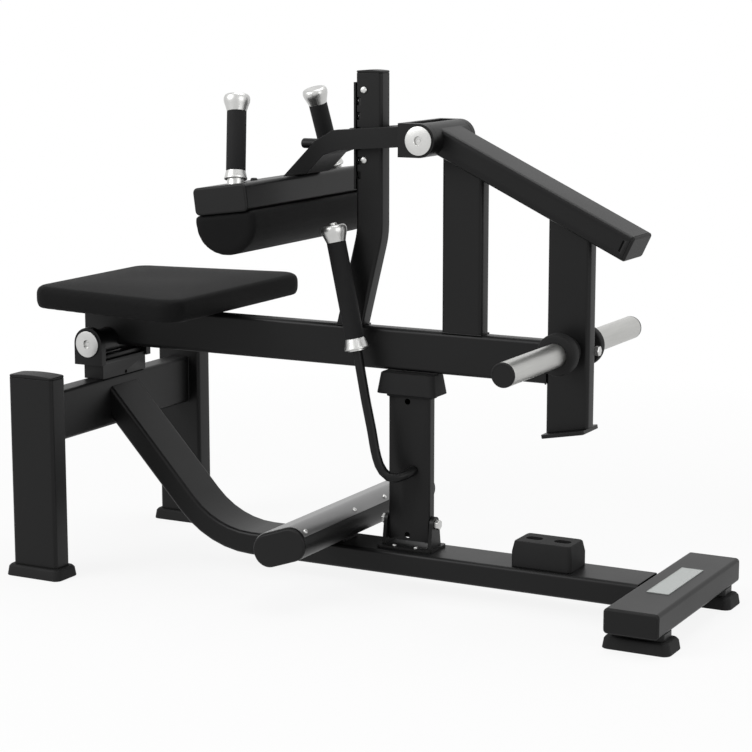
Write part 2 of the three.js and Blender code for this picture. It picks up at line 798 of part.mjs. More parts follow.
// Weight horns through the front post
const hornEnd = hornSpan / 2;
const sleeveEnd = hornEnd - hornCapThickness - clearance;
const hornBar = cylinderY(hornBarRadius, -sleeveEnd, sleeveEnd, frontLeverPostX, hornZ);
add(lever, 'horn_bar', hornBar, blackPaint);
const boreRadius = hornBarRadius + clearance;
const ringOnBar = (profile) => turned([...profile, profile[0]]).rotateX(-quarterTurn);
sides.forEach(([side, sign]) => {
  const turn = sign < 0 ? Math.PI : 0;
  const place = (name, geometry, look) => {
    const mesh = add(lever, name, geometry, look);
    mesh.position.set(frontLeverPostX, 0, hornZ);
    mesh.rotation.z = turn;
  };
  const collarInner = collarOuter - collarThickness;
  const stubStart = leverTubeWidth / 2 + clearance;
  place(`horn_collar_${side}`, ringOnBar([
    [boreRadius, stubStart],
    [stubRadius, stubStart],
    [stubRadius, collarInner],
    [collarRadius - collarEdge, collarInner],
    [collarRadius, collarInner + collarEdge],
    [collarRadius, collarOuter - collarEdge],
    [collarRadius - collarEdge, collarOuter],
    [hornRadius + clearance, collarOuter],
    [hornRadius + clearance, collarOuter - sleeveSeat],
    [boreRadius, collarOuter - sleeveSeat],
  ]), rubber);
  place(`horn_sleeve_${side}`, ringOnBar([
    [boreRadius, collarOuter - sleeveSeat + clearance],
    [hornRadius, collarOuter - sleeveSeat + clearance],
    [hornRadius, sleeveEnd],
    [boreRadius, sleeveEnd],
  ]), steel);
  place(`horn_end_cap_${side}`, turned([
    [0, sleeveEnd + clearance],
    [hornRadius, sleeveEnd + clearance],
    [hornRadius, hornEnd - hornCapThickness / 2],
    [hornRadius - hornCapThickness / 2, hornEnd],
    [0, hornEnd],
  ]).rotateX(-quarterTurn), blackPlastic);
});

// Upright: leans back from the bend down to the beam, plumb above it
const uprightX = uprightFrontX - uprightDepth / 2;
const uprightRear = uprightFrontX - uprightDepth;
const leanTangent = uprightBendRadius * Math.tan(uprightLean / 2);
const uprightSkin = (depth, width, corner, top) => {
  const drop = uprightBendZ - beamBottom;
  const steps = bendSteps / 2;
  const stations = [{ x: uprightX - drop * Math.tan(uprightLean), z: uprightBendZ - drop, angle: uprightLean }];
  for (let i = 0; i <= steps; i += 1) {
    const angle = uprightLean * (1 - i / steps);
    stations.push({
      x: uprightX - uprightBendRadius * (1 - Math.cos(angle)),
      z: uprightBendZ + leanTangent - uprightBendRadius * Math.sin(angle),
      angle,
    });
  }
  stations.push({ x: uprightX, z: top, angle: 0 });
  return loft(stations.map(({ x, z, angle }) => flatRing(depth, width, corner, 0).map((point) => (
    new THREE.Vector3(x + point.x * Math.cos(angle), point.y, z - point.x * Math.sin(angle))
  ))));
};
const belowBeamTop = box(0, uprightFrontX + uprightDepth, -uprightWidth, uprightWidth, 0, beamTop + clearance);
const holeHeights = [];
for (let i = -holesBelowPin; i <= holesAbovePin; i += 1) holeHeights.push(pinZ + i * holePitch);
const slots = holeHeights.map((z) => (
  box(
    uprightRear - cutOverrun,
    uprightRear + slotDepth,
    -uprightWidth,
    uprightWidth,
    z - slotHeight / 2,
    z + slotHeight / 2,
  )
));
const upright = cut(solid(uprightSkin(uprightDepth, uprightWidth, uprightCorner, uprightTop)), [
  uprightSkin(
    uprightDepth - 2 * tubeWall,
    uprightWidth - 2 * tubeWall,
    uprightCorner - tubeWall,
    uprightTop + cutOverrun,
  ),
  belowBeamTop,
  ...slots,
]);
add(lever, 'upright_tube', geometryOf(upright), blackPaint);
add(
  lever,
  'upright_cap',
  archedCap(uprightDepth, uprightWidth, uprightCorner, uprightCapRim, uprightCapRise),
  blackPlastic,
).position.set(uprightX, 0, uprightTop + clearance);
const holePlateBottom = holeHeights[0] - holePlateMargin;
const holePlateRear = uprightRear - holePlateThickness;
const holePlate = cut(
  solid(box(
    holePlateRear,
    uprightRear - clearance,
    -holePlateWidth / 2,
    holePlateWidth / 2,
    holePlateBottom,
    holePlateTop,
  )),
  holeHeights.map((z) => cylinderX(holeRadius, holePlateRear - cutOverrun, uprightRear + cutOverrun, z)),
);
add(lever, 'hole_plate', geometryOf(holePlate), blackPaint);

// Seat outline: a trapezoid with round corners, wider at the front, drawn in by an inset
const seatOutline = (inset) => {
  const rear = seatRear + inset;
  const front = seatRear + seatLength - inset;
  const taper = (seatFrontWidth - seatRearWidth) / 2 / seatLength;
  const half = (x) => seatRearWidth / 2 + (x - seatRear) * taper - inset;
  const corner = Math.max(seatCorner - inset / 2, seatCorner / 2);
  const slant = Math.atan(taper);
  const frontHalf = half(front) - corner;
  const rearHalf = half(rear + corner) - corner * Math.cos(slant);
  const shape = new THREE.Shape();
  shape.absarc(front - corner, frontHalf, corner, 0, quarterTurn + slant);
  shape.absarc(rear + corner, rearHalf, corner, quarterTurn + slant, Math.PI);
  shape.absarc(rear + corner, -rearHalf, corner, Math.PI, Math.PI + quarterTurn - slant);
  shape.absarc(front - corner, -frontHalf, corner, Math.PI + quarterTurn - slant, 2 * Math.PI);
  return shape;
};
const seatBoardBottom = beamTop + clearance;
const seatPadBottom = seatBoardBottom + seatBoardThickness;
const seatBoard = extrude(seatOutline(seatBoardInset), seatBoardThickness - clearance, bendSteps)
  .translate(0, 0, seatBoardBottom);
add(lever, 'seat_board', seatBoard, blackPaint);
const seatRing = (inset, z) => (
  seatOutline(inset).getPoints(bendSteps).map((point) => new THREE.Vector3(point.x, point.y, z))
);
const seatMiddle = new THREE.Vector3(seatRear + seatLength / 2, 0, 0);
const seatRings = [seatRing(seatDrawIn * 2, seatPadBottom), seatRing(seatDrawIn, seatPadBottom + seatDrawIn)];
const seatEdgeLow = seatPadBottom + seatPadHeight - seatCrown - seatEdgeRound;
seatRings.push(seatRing(0, seatPadBottom + seatEdgeRound));
for (let i = 0; i <= bendSteps / 2; i += 1) {
  const angle = (quarterTurn * i) / (bendSteps / 2);
  seatRings.push(seatRing(seatEdgeRound * (1 - Math.cos(angle)), seatEdgeLow + seatEdgeRound * Math.sin(angle)));
}
for (let i = 1; i <= padRings; i += 1) {
  const share = 1 - i / (padRings + 1);
  const rise = seatCrown * (1 - share * share);
  seatRings.push(seatRing(seatEdgeRound, 0).map((point) => (
    point.sub(seatMiddle).multiplyScalar(share).add(seatMiddle)
      .setZ(seatPadBottom + seatPadHeight - seatCrown + rise)
  )));
}
add(lever, 'seat_pad', loft(seatRings), leather);

// Pad arm: clevis on the head, two arms past the upright, and a stem down to the housing
const clevisShape = new THREE.Shape();
const clevisRearX = headPivotX - clevisRear;
clevisShape.moveTo(clevisRearX, headPivotZ - clevisRadius);
clevisShape.lineTo(headPivotX, headPivotZ - clevisRadius);
clevisShape.absarc(headPivotX, headPivotZ, clevisRadius, -quarterTurn, quarterTurn);
clevisShape.lineTo(clevisRearX, headPivotZ + clevisRadius);
const clevis = acrossY(clevisShape, 2 * earOuter, bendSteps * 2);
const clevisGap = box(
  clevisRearX + clevisWall,
  headPivotX + 2 * earRadius,
  -earInner,
  earInner,
  headPivotZ - 2 * earRadius,
  headPivotZ + 2 * earRadius,
);
const armStart = new THREE.Vector2(clevisRearX + clevisWall / 2, headPivotZ + armStartRise);
const armBend = new THREE.Vector2(armBendX, armStart.y - (armStart.x - armBendX) * Math.tan(armSlope));
const armLine = [
  { at: armStart, half: armHeight / 2 },
  { at: armBend, half: armHeight / 2 },
  { at: new THREE.Vector2(stemShoulderX, stemShoulderZ), half: stemThickness / 2 },
  { at: new THREE.Vector2(stemFootX, stemFootZ), half: stemThickness / 2 },
  { at: new THREE.Vector2(2 * stemFootX - stemShoulderX, 2 * stemFootZ - stemShoulderZ), half: stemThickness / 2 },
];
const ribbonSide = (line, sign) => line.map(({ at, half }, i) => {
  const before = line[Math.max(i - 1, 0)].at;
  const after = line[Math.min(i + 1, line.length - 1)].at;
  const into = at.clone().sub(before).normalize();
  const out = after.clone().sub(at).normalize();
  const along = into.add(out).normalize();
  return new THREE.Vector2(at.x - sign * half * along.y, at.y + sign * half * along.x);
});
const armShape = new THREE.Shape([...ribbonSide(armLine, 1), ...ribbonSide(armLine, -1).reverse()]);
const arms = acrossY(armShape, 2 * armOuter);
const forkGap = box(
  forkFloorX,
  clevisRearX,
  -armInner,
  armInner,
  stemFootZ,
  headPivotZ + 2 * earRadius,
);
const housingTurn = new THREE.Matrix4().makeRotationY(-housingPitch).setPosition(housingX, 0, housingZ);
const belowHousingTop = box(
  -2 * housingDepth,
  2 * housingDepth,
  -housingLength,
  housingLength,
  -3 * housingHeight,
  housingHeight / 2 + clearance,
).applyMatrix4(housingTurn);
const pinBore = cylinderX(pinBarRadius + clearance, pinBarRear - cutOverrun, forkFloorX + cutOverrun, pinZ);
const armBody = cut(solid(clevis).add(solid(arms)), [
  clevisGap,
  forkGap,
  earBore(headPivotX, headPivotZ),
  belowHousingTop,
  pinBore,
]);
add(padArm, 'pad_arm', geometryOf(armBody), blackPaint);
addAxle(padArm, 'head_axle', headPivotX, headPivotZ);

// Pad housing with its plugs and the knee pad below, pitched as one group
const housing = new THREE.Group();
housing.position.set(housingX, 0, housingZ);
housing.rotation.y = -housingPitch;
padArm.add(housing);
const housingTubeLength = housingLength - 2 * capThickness - 2 * clearance;
const housingSection = tubeSection(housingDepth, housingHeight, housingCorner);
add(housing, 'pad_housing', acrossY(housingSection, housingTubeLength), blackPaint);
sides.forEach(([side, sign]) => {
  const plug = add(
    housing,
    `housing_cap_${side}`,
    endPlug(housingDepth, housingHeight, housingCorner, capThickness),
    blackPlastic,
  );
  plug.position.y = sign * (housingLength / 2 - capThickness);
  plug.rotation.z = sign < 0 ? Math.PI : 0;
});
const kneeOutline = (inset) => {
  const half = kneePadWidth / 2 - inset;
  const corner = kneePadEdge;
  const shape = new THREE.Shape();
  shape.absarc(half - corner, -corner - inset, corner, 0, quarterTurn);
  shape.absarc(corner - half, -corner - inset, corner, quarterTurn, Math.PI);
  shape.lineTo(-half, -kneePadSide);
  shape.absellipse(0, -kneePadSide, half, kneePadDepth - kneePadSide - inset, Math.PI, 2 * Math.PI);
  return shape;
};
const kneeRing = (inset, y) => (
  kneeOutline(inset).getPoints(bendSteps).map((point) => new THREE.Vector3(point.x, point.y, y))
);
const kneeHalf = housingLength / 2 - kneePadMargin;
const kneeRings = [];
for (let i = 0; i <= bendSteps / 2; i += 1) {
  const angle = (quarterTurn * i) / (bendSteps / 2);
  kneeRings.push(kneeRing(kneePadEdge * (1 - Math.sin(angle)), kneePadEdge * (1 - Math.cos(angle)) - kneeHalf));
}
const kneeMirror = kneeRings.map((ring) => ring.map((point) => point.clone().setZ(-point.z))).reverse();
const kneePad = loft([...kneeRings, ...kneeMirror]).rotateX(quarterTurn)
  .translate(0, 0, -housingHeight / 2 - clearance);
add(housing, 'knee_pad', kneePad, leather);

// Handle along its own Z: ferrule, shaft in the grip and a mushroom knob
const handleCore = (ferrule, length, skirt) => {
  const gripTop = ferruleLength + length;
  return turned([
    [0, -skirt],
    [ferrule - ferruleStep, -skirt],
    [ferrule - ferruleStep, ferruleNeck],
    [ferrule, ferruleNeck],
    [ferrule, ferruleNeck + ferruleLip],
    [gripRadius, ferruleLength],
    [shaftRadius, ferruleLength],
    [shaftRadius, gripTop],
    ...knobShares.map(([out, up]) => [knobRadius * out, gripTop + knobLength * up]),
  ], smallRoundSteps);
};
const gripSleeve = (length) => {
  const inner = shaftRadius + clearance;
  const low = ferruleLength + clearance;
  const high = ferruleLength + length - clearance;
  return turned([
    [inner, low],
    [gripRadius - gripEdge, low],
    [gripRadius, low + gripEdge],
    [gripRadius, high - gripEdge],
    [gripRadius - gripEdge, high],
    [inner, high],
    [inner, low],
  ], smallRoundSteps);
};
const aimed = (geometry, direction, at) => (
  geometry.applyMatrix4(new THREE.Matrix4().compose(
    at,
    new THREE.Quaternion().setFromUnitVectors(axisZ, direction.clone().normalize()),
    new THREE.Vector3(1, 1, 1),
  ))
);
const housingTopZ = housingZ + housingHeight / 2 / Math.cos(housingPitch);
const handleY = housingLength / 2 - handleInset;
sides.forEach(([side, sign]) => {
  const direction = new THREE.Vector3(-handleLeanBack, -sign * handleLeanIn, handleRun);
  const at = new THREE.Vector3(housingX, sign * handleY, housingTopZ);
  const core = cut(solid(aimed(handleCore(ferruleRadius, gripLength, cutOverrun * 2), direction, at)), [
    belowHousingTop,
  ]);
  add(padArm, `handle_core_${side}`, geometryOf(core), steel);
  add(padArm, `handle_grip_${side}`, aimed(gripSleeve(gripLength), direction, at), rubber);
});

// Pull pin: a thick bar through the stem and a thin pin that faces the hole plate
const pinBarEnd = [];
for (let i = 0; i <= bendSteps / 2; i += 1) {
  const angle = (quarterTurn * i) / (bendSteps / 2);
  pinBarEnd.push([pinBarRadius * Math.sin(angle), pinBarRear + pinBarRound * (1 - Math.cos(angle))]);
}
const pullPin = turned([
  ...pinBarEnd,
  [pinBarRadius, pinBarFront],
  [pinRadius, pinBarFront],
  [pinRadius, pinTipX - pinEdge],
  [pinRadius - pinEdge, pinTipX],
  [0, pinTipX],
], smallRoundSteps).rotateY(quarterTurn);
add(pin, 'pull_pin', pullPin, blackPaint).position.z = pinZ;

// Prop: post on the hinge bolt with a flared cap that holds up the beam
const propCapTop = beamBottom - propCapGap;
const propCapBottom = propCapTop - propCapHeight;
const propPostTop = propCapBottom + propPostInCap;
const propPostSection = tubeSection(propPostWidth, propPostDepth, propPostCorner);
const propPost = cut(
  solid(barBetween(propPostSection, inPlane(propX, propPostBottom), inPlane(propX, propPostTop))),
  [bracketBore],
);
add(prop, 'prop_post', geometryOf(propPost), blackPaint);
const capLevel = (flare, z) => (
  flatRing(propCapTopLength + 2 * flare, propCapTopWidth + 2 * flare, propCapCorner, propCapBottom + z)
);
const capBody = loft([
  capLevel(-propCapLip, 0),
  capLevel(-propCapLip, propCapLipHeight),
  capLevel(propCapRimFlare, propCapRimLow),
  capLevel(0, propCapHeight - propCapEdge),
  capLevel(-propCapEdge, propCapHeight),
]).translate(propX, 0, 0);
const capSocket = barBetween(
  roundedRect(propPostWidth + 2 * clearance, propPostDepth + 2 * clearance, propPostCorner),
  inPlane(propX, propCapBottom - cutOverrun),
  inPlane(propX, propPostTop + clearance),
);
add(prop, 'prop_cap', geometryOf(cut(solid(capBody), [capSocket])), rubber);

// Prop handle: bent rod from the post's near face up to the grip's ferrule
const rodFace = -propPostWidth / 2 - clearance;
const propRodStartX = propX + propRodAhead;
const propHandleX = propX - propHandleBack;
const propHandleAt = new THREE.Vector3(propHandleX, -propRodOut, propHandleZ);
const propHandleDirection = new THREE.Vector3(-propHandleLean, 0, propHandleRun).normalize();
const rodFall = propRodStartX - propHandleX;
const rodRise = propHandleZ - propRodStartZ;
const rodShares = [
  [1, 0, 0],
  [0.95, 0.5, -0.02],
  [0.83, 0.9, -0.04],
  [0.66, 1, -0.03],
  [0.5, 1, 0.04],
  [0.41, 1, 0.14],
  [0.31, 1, 0.35],
  [0.19, 1, 0.58],
  [0, 1, 1],
  [-0.02, 1, 1.05],
];
const rodPath = new THREE.CatmullRomCurve3(rodShares.map(([back, out, up]) => new THREE.Vector3(
  propHandleX + rodFall * back,
  rodFace - (propRodOut + rodFace) * out,
  propRodStartZ + rodRise * up,
)));
const rodRound = new THREE.Shape();
rodRound.absarc(0, 0, propRodRadius, 0, 2 * Math.PI);
const rod = new THREE.ExtrudeGeometry(rodRound, {
  steps: pathSteps,
  curveSegments: rodSides,
  extrudePath: rodPath,
  bevelEnabled: false,
});
const ferruleRoom = aimed(turned([
  [0, -clearance],
  [2 * propFerruleRadius, -clearance],
  [2 * propFerruleRadius, propGripLength],
  [0, propGripLength],
]), propHandleDirection, propHandleAt);
const propCore = aimed(handleCore(propFerruleRadius, propGripLength, 0), propHandleDirection, propHandleAt);
const postFaceCut = box(
  propX - propPostDepth,
  propX + propPostDepth,
  rodFace,
  propPostDepth,
  0,
  propHandleZ,
);
add(prop, 'prop_rod', geometryOf(cut(solid(rod), [postFaceCut, ferruleRoom])), blackPaint);
add(prop, 'prop_handle_core', propCore, steel);
add(prop, 'prop_grip', aimed(gripSleeve(propGripLength), propHandleDirection, propHandleAt), rubber);

machine.position.x = -frontFootFront / 2;

export default machine;
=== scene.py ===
import contextlib
import json
import math

import bpy
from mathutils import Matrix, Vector

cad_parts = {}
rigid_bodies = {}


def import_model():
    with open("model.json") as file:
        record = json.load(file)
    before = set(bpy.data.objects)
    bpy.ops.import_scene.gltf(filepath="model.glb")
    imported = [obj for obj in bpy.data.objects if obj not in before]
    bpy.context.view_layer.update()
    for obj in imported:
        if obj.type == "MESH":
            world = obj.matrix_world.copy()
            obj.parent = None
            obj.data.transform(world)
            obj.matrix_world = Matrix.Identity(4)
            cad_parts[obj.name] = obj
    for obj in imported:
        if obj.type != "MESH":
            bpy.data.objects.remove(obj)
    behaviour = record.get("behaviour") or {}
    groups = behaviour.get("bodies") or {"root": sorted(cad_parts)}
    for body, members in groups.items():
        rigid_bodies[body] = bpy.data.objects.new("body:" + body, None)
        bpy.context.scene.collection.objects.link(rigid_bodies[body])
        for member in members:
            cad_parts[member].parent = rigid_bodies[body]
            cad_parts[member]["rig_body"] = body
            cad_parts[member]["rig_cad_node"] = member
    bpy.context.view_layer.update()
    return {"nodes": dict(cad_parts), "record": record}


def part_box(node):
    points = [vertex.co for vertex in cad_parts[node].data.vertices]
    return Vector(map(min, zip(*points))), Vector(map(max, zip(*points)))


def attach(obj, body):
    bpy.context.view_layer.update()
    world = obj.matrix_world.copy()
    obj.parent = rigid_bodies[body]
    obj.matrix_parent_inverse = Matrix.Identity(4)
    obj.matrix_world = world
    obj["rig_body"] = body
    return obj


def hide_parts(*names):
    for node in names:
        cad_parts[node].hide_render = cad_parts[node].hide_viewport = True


bl_info = {
    "name": "Seated Calf Raise Machine",
    "version": (1, 0, 0),
    "blender": (4, 5, 0),
    "location": "3D Viewport > Sidebar > Calf Raise",
    "description": "Dresses a seated calf raise machine and its studio",
    "category": "Object",
}

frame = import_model()

# Points closer than this are joined
JOIN_DISTANCE = 0.00002
# Bends between faces: dissolved, rounded, and shaded smooth
FLAT_ANGLE = math.radians(0.6)
EDGE_ANGLE = math.radians(40)
SMOOTH_ANGLE = math.radians(32)
ROD_ANGLE = math.radians(40)
BEAD_ANGLE = math.radians(60)
# Facets round a turned piece
FINE_FACETS = 96
FACETS = 64
SCREW_FACETS = 32
BORE_FACETS = 24
BEAD_FACETS = 10
HEX_FACETS = 6
# Frames in which the cloth comes to rest
CLOTH_FRAMES = 20
# Each side, with the sign of its places across
SIDES = (("right", -1), ("left", 1))


def setting(factory, **fixed):
    """A maker of properties from a name, a description and a default."""
    def maker(name, about, default):
        return factory(name=name, description=about, default=default, **fixed)
    return maker


size = setting(bpy.props.FloatProperty, unit="LENGTH", precision=5)
number = setting(bpy.props.FloatProperty, min=0)
share = setting(bpy.props.FloatProperty, min=0, max=1, subtype="FACTOR")
angle = setting(bpy.props.FloatProperty, subtype="ANGLE")
pair = setting(bpy.props.FloatVectorProperty, size=2, unit="LENGTH", precision=5)
place = setting(bpy.props.FloatVectorProperty, subtype="TRANSLATION")
colour = setting(bpy.props.FloatVectorProperty, subtype="COLOR")


class CalfStageSettings(bpy.types.PropertyGroup):
    """Camera, floor and lamps of the studio."""

    lens: number("Lens", "Focal length in millimetres", 104.07)
    sensor: number("Sensor", "Sensor width in millimetres", 36)
    camera_place: place("Camera", "Where the camera stands", (2.093, -3.9558, 1.2536))
    camera_aim: place("Aim", "The point that the camera looks at", (-0.0029, 0, 0.445))
    floor_size: size("Floor", "Side of the square floor", 24)
    floor_gap: size("Floor gap", "Gap under the rubber feet", 0.0006)
    shadow_near: size("Shadow near", "Where the shadow starts to fade", 1.1)
    shadow_far: size("Shadow far", "Where the shadow has gone", 2.6)
    floor_share: share("Floor white", "Share of even white near the machine", 0.88)
    room_light: number("Room light", "Strength of the even light", 0.32)
    key_power: number("Key lamp", "Power of the left lamp in watts", 125)
    key_place: place("Key place", "Where the left lamp hangs", (-2.6, -3.4, 3))
    top_power: number("Top lamp", "Power of the upper lamp in watts", 80)
    top_place: place("Top place", "Where the upper lamp hangs", (0.2, 0.6, 4.2))
    side_power: number("Side lamp", "Power of the right lamp in watts", 40)
    side_place: place("Side place", "Where the right lamp stands", (3.6, -1.6, 1.8))
    lamp_size: size("Lamp size", "Side of each square lamp", 2.6)
    floor_roughness: share("Floor roughness", "How matt the floor is", 0.9)
    far_clip: size("Far clip", "How far the camera sees", 96)


class CalfPadSettings(bpy.types.PropertyGroup):
    """Form of the two upholstered pads."""

    voxel: size("Voxel", "Mesh size of the padded forms", 0.0046)
    pressure: number("Pressure", "Air pressure that swells the cover", 4)
    swell: size("Most swell", "Furthest that the cover may move", 0.005)
    seat_held: share("Seat held", "How far up the seat's cover is held", 0.97)
    knee_held: share("Knee held", "How far down the knee pad's cover is held", 0.4)
    plump: size("Plump", "How far the cover grows out at the end", 0.0017)
    slack: size("Slack", "How far the form starts inside its final skin", 0.0006)


class CalfMetalSettings(bpy.types.PropertyGroup):
    """Edges of the frame and sizes of its axles and horns."""

    edge: size("Edge", "Width of a painted piece's rounded edge", 0.0009)
    soft_edge: size("Soft edge", "Width of a moulded piece's rounded edge", 0.0016)
    fine_edge: size("Fine edge", "Width of a bright piece's rounded edge", 0.0006)
    shaft_radius: size("Shaft", "Radius of the two hinge axles", 0.0147)
    socket: pair("Socket", "Radius and depth of the socket in an axle's head", (0.009, 0.0045))
    axle_recess: size("Axle recess", "How far an axle ends inside its second disc", 0.002)
    washer: pair("Washer", "Radius and thickness of the head's bright washer", (0.0335, 0.0018))
    collar_width: size("Collar", "Thickness of a rubber plate stop", 0.026)
    flank: pair("Collar flank", "Taper and length of a plate stop's rounded flank", (0.0055, 0.014))
    collar_edge: size("Collar edge", "Radius of a plate stop's rounded edge", 0.003)
    stub_radius: size("Stub", "Radius of the ring behind a plate stop", 0.03)
    plug_edge: size("Plug edge", "Radius of a horn plug's rounded edge", 0.0024)
    plug_rim: size("Plug rim", "Width of the flat rim round a horn plug", 0.0036)
    pin_bar_length: size("Pull bar", "Length of the thick part of the pull pin", 0.089)
    pin_radius: size("Pin", "Radius of the thin part of the pull pin", 0.005)


class CalfHandleSettings(bpy.types.PropertyGroup):
    """Sizes of the three hand grips."""

    foot: place("Foot", "Middle of the left grip's foot", (-0.2155, 0.205, 0.8557))
    lean: place("Lean", "Direction of the left grip", (-0.0163, -0.0332, 0.125))
    prop_foot: place("Prop foot", "Middle of the prop grip's foot", (-0.0152, -0.06, 0.5075))
    prop_lean: place("Prop lean", "Direction of the prop's grip", (-0.045, 0, 0.206))
    ferrule_radius: size("Ferrule", "Radius of a ferrule's lip", 0.0235)
    prop_ferrule_radius: size("Prop ferrule", "Radius of the prop ferrule's lip", 0.026)
    ferrule_length: size("Ferrule length", "Height of a ferrule with its neck", 0.026)
    neck_length: size("Neck", "Height of the neck under a ferrule", 0.008)
    prop_neck_length: size("Prop neck", "Height of the neck under the prop's ferrule", 0.003)
    neck_step: size("Neck step", "How far the neck stands inside the lip", 0.006)
    lip: size("Lip", "Height of a ferrule's lip", 0.003)
    skirt: size("Skirt", "How far a core runs into the housing", 0.012)
    core_radius: size("Core", "Radius of the steel inside a grip", 0.012)
    grip_radius: size("Grip", "Radius of a grip", 0.02)
    grip_length: size("Grip length", "Length of the two upper grips", 0.122)
    prop_grip_length: size("Prop grip length", "Length of the prop's grip", 0.2015)
    knob: pair("Knob", "Largest radius and height of a knob", (0.027, 0.035))
    button: pair("Button", "Radius and height of the prop knob's button", (0.0085, 0.0045))
    edge: size("Edge", "Radius of the small edges", 0.0012)


class CalfFastenerSettings(bpy.types.PropertyGroup):
    """Screws, rivets, slots, small holes and the bare plate."""

    screw_radius: size("Screw", "Radius of a button-head screw", 0.0075)
    plate_screw_radius: size("Plate screw", "Radius of the bracket's screws", 0.0048)
    rivet_radius: size("Rivet", "Radius of a rivet head on the tread", 0.0052)
    bolt: pair("Bolt", "Radius and length of the set bolt's shank", (0.005, 0.0105))
    bolt_head: pair("Bolt head", "Corner radius and height of the set bolt's head", (0.0105, 0.01))
    bracket_plate: size("Bracket plate", "Thickness of the bracket's plate", 0.006)
    upright_screws: place("Upright screws", "Place along, lower and upper height", (-0.02, 0.897, 1.0395))
    bracket_screws: place("Bracket screws", "Rear and front place along, and across", (0.0545, 0.105, 0.027))
    rivets: place("Rivets", "Place along, height, and inner place across", (-0.0183, 0.17, 0.067))
    rivet_end: size("Outer rivet", "Place of the outer rivets across", 0.274)
    rivet_tilt: angle("Rivet tilt", "Slope of the tread sheet under the rivets", math.radians(48))
    bolt_place: place("Bolt place", "Where the set bolt leaves the stub", (0.466, 0.031, 0.5315))
    rise_low: place("Rise low", "Lower corner of the rise under the hub", (-0.691, -0.0785, 0.4365))
    rise_high: place("Rise high", "Upper corner of the rise under the hub", (-0.644, 0.0785, 0.4465))
    # Painted shade: a black strip inside the upright, just behind its notches, so they read dark where the
    # tube shows only shade inside
    liner_low: place("Liner low", "Lower corner of the strip behind the notches", (-0.0362, 0.012, 0.842))
    liner_high: place("Liner high", "Upper corner of the strip behind the notches", (-0.027, 0.0135, 1.05))
    housing_screw: place("Housing screw", "Middle of the pad housing's screw", (-0.2198, -0.126, 0.8558))
    hole_radius: size("Hole", "Radius of the hole in the pivot block", 0.0042)
    post_hole_radius: size("Post hole", "Radius of the holes in the prop's post", 0.0065)
    post_holes: place("Post holes", "Place along, upper and lower height", (0.0785, 0.4, 0.1152))
    block_hole: place("Block hole", "Middle of the hole in the pivot block", (-0.6375, 0.0053, 0.4015))
    slot_place: place("Slot", "Middle of the slot near the head beam's end", (0.5588, -0.05, 0.7548))
    slot_size: place("Slot size", "Length across the beam, width and depth", (0.024, 0.004, 0.0022))
    beam_slope: angle("Beam slope", "Slope of the head beam", math.radians(25.4))
    plate_size: place("Plate", "Width, length and thickness of the bare plate", (0.046, 0.2, 0.0008))
    plate_shift: size("Plate shift", "How far the bare plate lies to the left", 0.0065)
    plate_corner: size("Plate corner", "Corner radius of the bare plate", 0.0015)


class CalfWeldSettings(bpy.types.PropertyGroup):
    """Weld beads between the painted tubes."""

    radius: size("Bead", "Radius of a weld bead", 0.0018)
    pitch: size("Pitch", "Distance between the ripples of a bead", 0.003)
    ripple_share: share("Ripple", "How much a ripple narrows the bead", 0.14)


class CalfGrainSettings(bpy.types.PropertyGroup):
    """Sizes and depths of the surface grains."""

    peel: pair("Orange peel", "Size and depth of the powder coat's grain", (0.0016, 0.00022))
    patch_size: size("Patches", "Size of slow changes in gloss", 0.2)
    mould: pair("Mould grain", "Size and depth of the plugs' grain", (0.0007, 0.00012))
    pores: pair("Pores", "Size and depth of the rubber's pores", (0.0011, 0.0002))
    bloom_size: size("Bloom", "Size of the pale bloom on rubber", 0.07)
    leather: pair("Leather grain", "Size and depth of the vinyl's creases", (0.002, 0.0003))
    points: pair("Grip points", "Size and depth of the points on the grips", (0.0016, 0.0004))
    slide_size: size("Slide marks", "Size of the wear marks on the sleeves", 0.0072)
    turning: pair("Turning marks", "Size and depth of the marks on turned steel", (0.0024, 0.00005))
    brush: pair("Brush marks", "Width and depth of the marks on brushed sheet", (0.0038, 0.0001))


class CalfColourSettings(bpy.types.PropertyGroup):
    """Colours of the finishes."""

    paint: colour("Paint", "Black powder coat", (0.0042, 0.0042, 0.0043))
    plastic: colour("Plastic", "Moulded plugs", (0.0048, 0.0048, 0.0049))
    rubber: colour("Rubber", "Feet, stops and collars", (0.006, 0.006, 0.0061))
    cover: colour("Cover", "Vinyl of the pads", (0.0068, 0.0068, 0.0069))
    grip: colour("Grip", "Rubber of the hand grips", (0.006, 0.006, 0.0063))
    steel: colour("Steel", "Bright turned steel", (0.54, 0.54, 0.53))
    sleeve: colour("Sleeve", "Satin tube of the weight horns", (0.47, 0.47, 0.455))
    tread: colour("Tread", "Brushed sheet on the foot bar", (0.19, 0.19, 0.19))
    plate: colour("Plate", "Bare plate on the front foot", (0.44, 0.46, 0.45))
    floor: colour("Floor", "White floor of the studio", (0.82, 0.82, 0.82))


class Wire:
    """A number that flows between shader nodes, with Python's own arithmetic."""

    def __init__(self, tree, socket):
        self.tree = tree
        self.socket = socket

    def _math(self, operation, first, second):
        return self.tree.node("ShaderNodeMath", {"operation": operation}, {0: first, 1: second})

    def __add__(self, other):
        return self._math("ADD", self, other)

    def __mul__(self, other):
        return self._math("MULTIPLY", self, other)

    def blend(self, other, other_share):
        """A mix that takes a share of the other."""
        return self * (1 - other_share) + other * other_share


